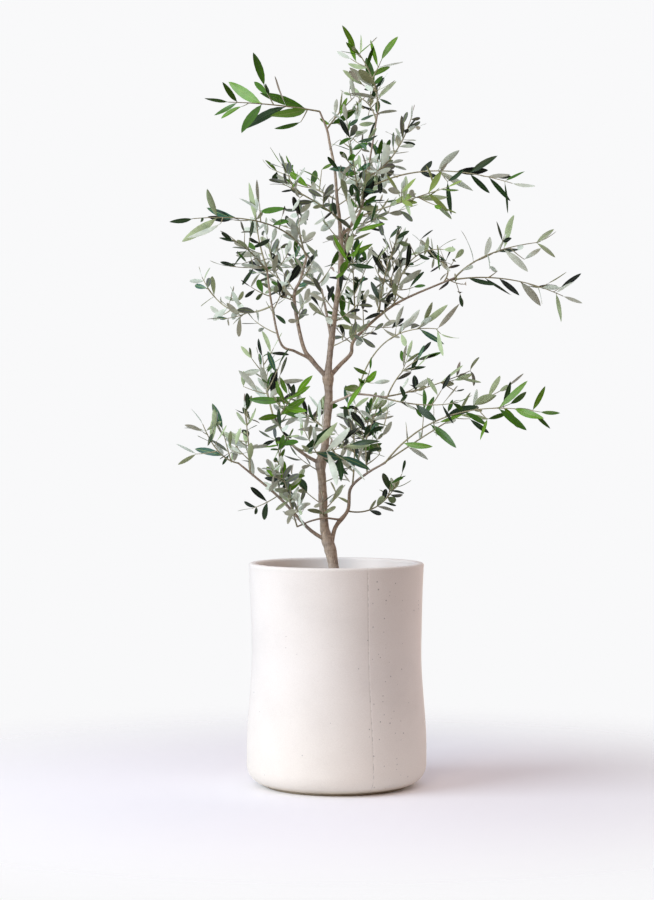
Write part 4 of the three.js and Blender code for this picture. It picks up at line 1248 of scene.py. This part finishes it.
def sharpen_margins(mesh, per_leaf):
    """Marks the leaf margins as sharp, so that upper and under side keep their own shading."""
    edges = np.empty(2 * len(mesh.edges), np.int32)
    mesh.edges.foreach_get("vertices", edges)
    low, high = np.sort(edges.reshape(-1, 2) % per_leaf, axis=1).T
    margin = np.isin(low % 5, (0, 3)) & ((high - low == 5) | (high == per_leaf - 1))
    mesh.attributes.new("sharp_edge", "BOOLEAN", "EDGE").data.foreach_set("value", margin)


def dealt_tone(tone, share):
    """The leaf finish that a share picks from a spray's tones."""
    for name, part in TONES[tone].items():
        share -= part
        if share < 0:
            break
    return name


def dress_leaf(leaf, spray, outward):
    """Gives a leaf its bent shape, turns it over where it shows its underside, and its finishes."""
    seed, spot, tone = spray["seed"], leaf["spot"], spray["tone"]
    asks = [chance(seed, spot, q) for q in (10, 11, 12, 13, 14, 15)]
    long = min(1, (spray["leaf"] - SHORT_LEAF) / SLIM_SPAN)
    slim = mix(*SLIMNESS, asks[3]) * mix(*SHORT_TO_LONG, long)
    blunt = max(0.0, 1 - (spray["leaf"] - BLUNT_LEAF) / BLUNT_SPAN) * mix(*BLUNTNESS, asks[1])
    leaf["shape"] = (*[mix(*span, ask) for span, ask in zip((CURLS, BENDS, TWISTS), asks)], slim, blunt)
    turned_out = leaf["face"][1] * outward > 0
    if turned_out != (chance(seed + 2000, spot, 4) < UPPER_SHARE[tone]):
        leaf["face"] = -leaf["face"]
    upper = dealt_tone(tone, asks[4])
    midrib = "dark_midrib" if upper in ("deep", "shade", "green") else "midrib"
    under = "underside" if asks[5] < SILVER_SHARE or tone == "grey" else "green_underside"
    leaf["tones"] = [list(FINISHES).index(name) for name in (upper, midrib, under)]


class OLIVE_OT_foliage(bpy.types.Operator):
    """Grows every spray's twigs and leaves from the limbs."""
    bl_idname = "olive.foliage"
    bl_label = "Twigs and leaves"

    def execute(self, context):
        s = context.scene.olive_tree
        tree = Tree()
        materials = [leaf_material(name, *finish) for name, finish in FINISHES.items()]
        grown = [(spray, tree.grow(own), tree.stems[own].at(0.5)) for own, spray in enumerate(SPRAYS)]
        for row in LIMB_TWIGS:
            middle = tree.limbs[row["on"]].path.at((row["from"] + row["to"]) / 2)
            grown.append((row, tree.grow_on_limb(row), middle))
        lines = []
        groups = {level: ([], []) for level in LEVELS}
        for number, (spray, (twigs, leaves), middle) in enumerate(grown):
            names, group = groups[next(level for level, top in LEVELS.items() if middle[2] < top)]
            if "name" in spray:
                names.append(spray["name"] + "_spray")
            for twig in twigs:
                shares = np.linspace(0, twig["end"], max(4, int(twig["path"].length / TWIG_STEP)))
                radii = np.linspace(twig["thick"], twig["thin"], len(shares))
                lines.append((twig["path"].at(shares), radii, float(number)))
            for leaf in leaves:
                dress_leaf(leaf, spray, 1 if middle[1] > BEHIND else -1)
            group.extend(leaves)
        young_bark = bark_material("young_olive_twig", tuple(s.twig), tuple(s.twig_light),
                                   tuple(s.twig_dark), 1.4286)
        values = {"Sides": 6, "Relief": 0.12, "Furrows": 1.4, "Length scale": 160.0}
        finish_piece(swept_piece("twigs", lines, **values, Material=young_bark), "foliage")
        for level, (names, leaves) in groups.items():
            points, faces, numbers, per_leaf = leaf_arrays(leaves, s.leaf_fold)
            mesh = mesh_of("leaves_" + level, points.tolist(), faces, materials, numbers)
            sharpen_margins(mesh, per_leaf)
            finish_piece(object_of("leaves_" + level, mesh), "foliage", *names)
        return {"FINISHED"}


# Stage

FADE = (0.25, 1.15)  # the floor fades into the backdrop between these radii, in metres
FLOOR_HALF = 3.0  # half the floor's width, in metres
GLOW_SIDE = (0.7, 0.71, 0.0)  # where the pale glow comes from, behind the plant on the right
GLOW_SPREAD = (0.7, 1.0)  # it grows between these shares of facing that side
SKY_SPREAD = (0.2, 0.85)  # the light from above takes over between these shares of facing up
LAMP_AIM = np.array([0, 0, 0.45])  # where the lamps point, in metres
LAMP_DISTANCE = 3.5  # from there, in metres
CAMERA_TILT, CAMERA_PAN = -1.17, 0.218  # in degrees

# Lamps: degrees round from the front to the left, degrees over the floor, width and height in metres
LAMPS = {"key": (63, 20, 2.8, 1.3), "front_window": (10, 25, 1.2, 1.2)}


def fading_floor(s):
    """Matt white painted floor: it takes the planter's soft shadow and fades out round it."""
    material, tree, shader, place = new_material("matt_white_floor", tuple(s.floor), 0.9,
                                                 Specular_IOR_Level=0.2)
    node = partial(add_node, tree)
    reach = node("VectorMath", {0: place}, operation="LENGTH")
    fade = node("MapRange", {0: reach, 1: FADE[0], 2: FADE[1]}, interpolation_type="SMOOTHSTEP")
    clear = node("BsdfTransparent")
    blend = node("MixShader", {0: fade, 1: shader, 2: clear})
    fill_inputs(tree, tree.nodes["Material Output"], {"Surface": blend})
    h = FLOOR_HALF
    return mesh_of("floor", [(-h, -h, 0), (h, -h, 0), (h, h, 0), (-h, h, 0)], [(0, 1, 2, 3)], [material])


def studio_world(s):
    """The plain backdrop for the camera, and weak tinted light from each side for all else."""
    world = bpy.data.worlds.new("studio")
    world.use_nodes = True
    tree = world.node_tree
    seen = tree.nodes["Background"]
    fill_inputs(tree, seen, {"Color": rgba(tuple(s.backdrop))})
    node = partial(add_node, tree)
    aim = node("TexCoord").outputs["Generated"]
    rise = node("SeparateXYZ", {0: aim}).outputs["Z"]
    facing = node("VectorMath", {0: aim, 1: GLOW_SIDE}, operation="DOT_PRODUCT")
    sky, glow = [node("MapRange", {0: value, 1: low, 2: high}, interpolation_type="SMOOTHSTEP")
                 for value, (low, high) in ((rise, SKY_SPREAD), (facing, GLOW_SPREAD))]
    bright = (*[c * s.glow for c in s.glow_colour], 1.0)
    sides = node("Mix", {0: glow, 6: rgba(s.side_fill), 7: bright}, data_type="RGBA")
    fill = node("Mix", {0: sky, 6: sides, 7: rgba(s.top_fill)}, data_type="RGBA")
    soft = node("Background", {"Color": fill, "Strength": s.fill})
    ray = node("LightPath").outputs["Is Camera Ray"]
    both = node("MixShader", {0: ray, 1: soft, 2: seen})
    fill_inputs(tree, tree.nodes["World Output"], {"Surface": both})
    return world


class OLIVE_OT_stage(bpy.types.Operator):
    """Sets the plain floor, the soft light from the left and the camera."""
    bl_idname = "olive.stage"
    bl_label = "Floor, light and camera"

    def execute(self, context):
        s = context.scene.olive_stage
        scene = context.scene
        scene.view_settings.view_transform = "Standard"
        object_of("floor", fading_floor(s))
        scene.world = studio_world(s)
        powers = {"key": (s.key_power, s.key_tint), "front_window": (s.front_power, s.front_tint)}
        for name, (azimuth, height, wide, high) in LAMPS.items():
            lamp = bpy.data.lights.new(name, "AREA")
            lamp.energy, lamp.color = powers[name]
            lamp.shape = "RECTANGLE"
            lamp.size, lamp.size_y = wide, high
            around, up = math.radians(azimuth), math.radians(height)
            level = math.cos(up)
            towards = np.array([-math.sin(around) * level, -math.cos(around) * level, math.sin(up)])
            light = object_of(name, lamp)
            light.location = LAMP_AIM + towards * LAMP_DISTANCE
            light.rotation_mode = "QUATERNION"
            light.rotation_quaternion = Vector(-towards).to_track_quat("-Z", "Y")
        lens = bpy.data.cameras.new("camera")
        lens.lens = s.lens
        camera = object_of("camera", lens)
        camera.location = (0, -s.distance, s.eye_height)
        camera.rotation_euler = (math.pi / 2 + math.radians(CAMERA_TILT), 0, math.radians(CAMERA_PAN))
        scene.camera = camera
        return {"FINISHED"}


class OLIVE_PT_panel(bpy.types.Panel):
    bl_idname = "OLIVE_PT_panel"
    bl_label = "Potted olive"
    bl_space_type = "VIEW_3D"
    bl_region_type = "UI"
    bl_category = "Potted olive"

    def draw(self, context):
        for group, steps in STEPS.items():
            settings = getattr(context.scene, group)
            column = self.layout.column()
            for name in settings.__annotations__:
                column.prop(settings, name)
            for step in steps:
                column.operator("olive." + step)


STEPS = {
    "olive_stage": ["stage"],
    "olive_planter": ["planter", "soil"],
    "olive_tree": ["limbs", "foliage"],
}
CLASSES = [
    OlivePlanterSettings, OliveTreeSettings, OliveStageSettings,
    OLIVE_OT_stage, OLIVE_OT_planter, OLIVE_OT_soil, OLIVE_OT_limbs, OLIVE_OT_foliage, OLIVE_PT_panel,
]


def register():
    for kind in CLASSES:
        bpy.utils.register_class(kind)
    for group, kind in zip(("olive_planter", "olive_tree", "olive_stage"), CLASSES):
        setattr(bpy.types.Scene, group, bpy.props.PointerProperty(type=kind))


def unregister():
    for group in STEPS:
        delattr(bpy.types.Scene, group)
    for kind in reversed(CLASSES):
        bpy.utils.unregister_class(kind)


def main():
    register()
    for steps in STEPS.values():
        for step in steps:
            getattr(bpy.ops.olive, step)()


if __name__ == "__main__":
    main()
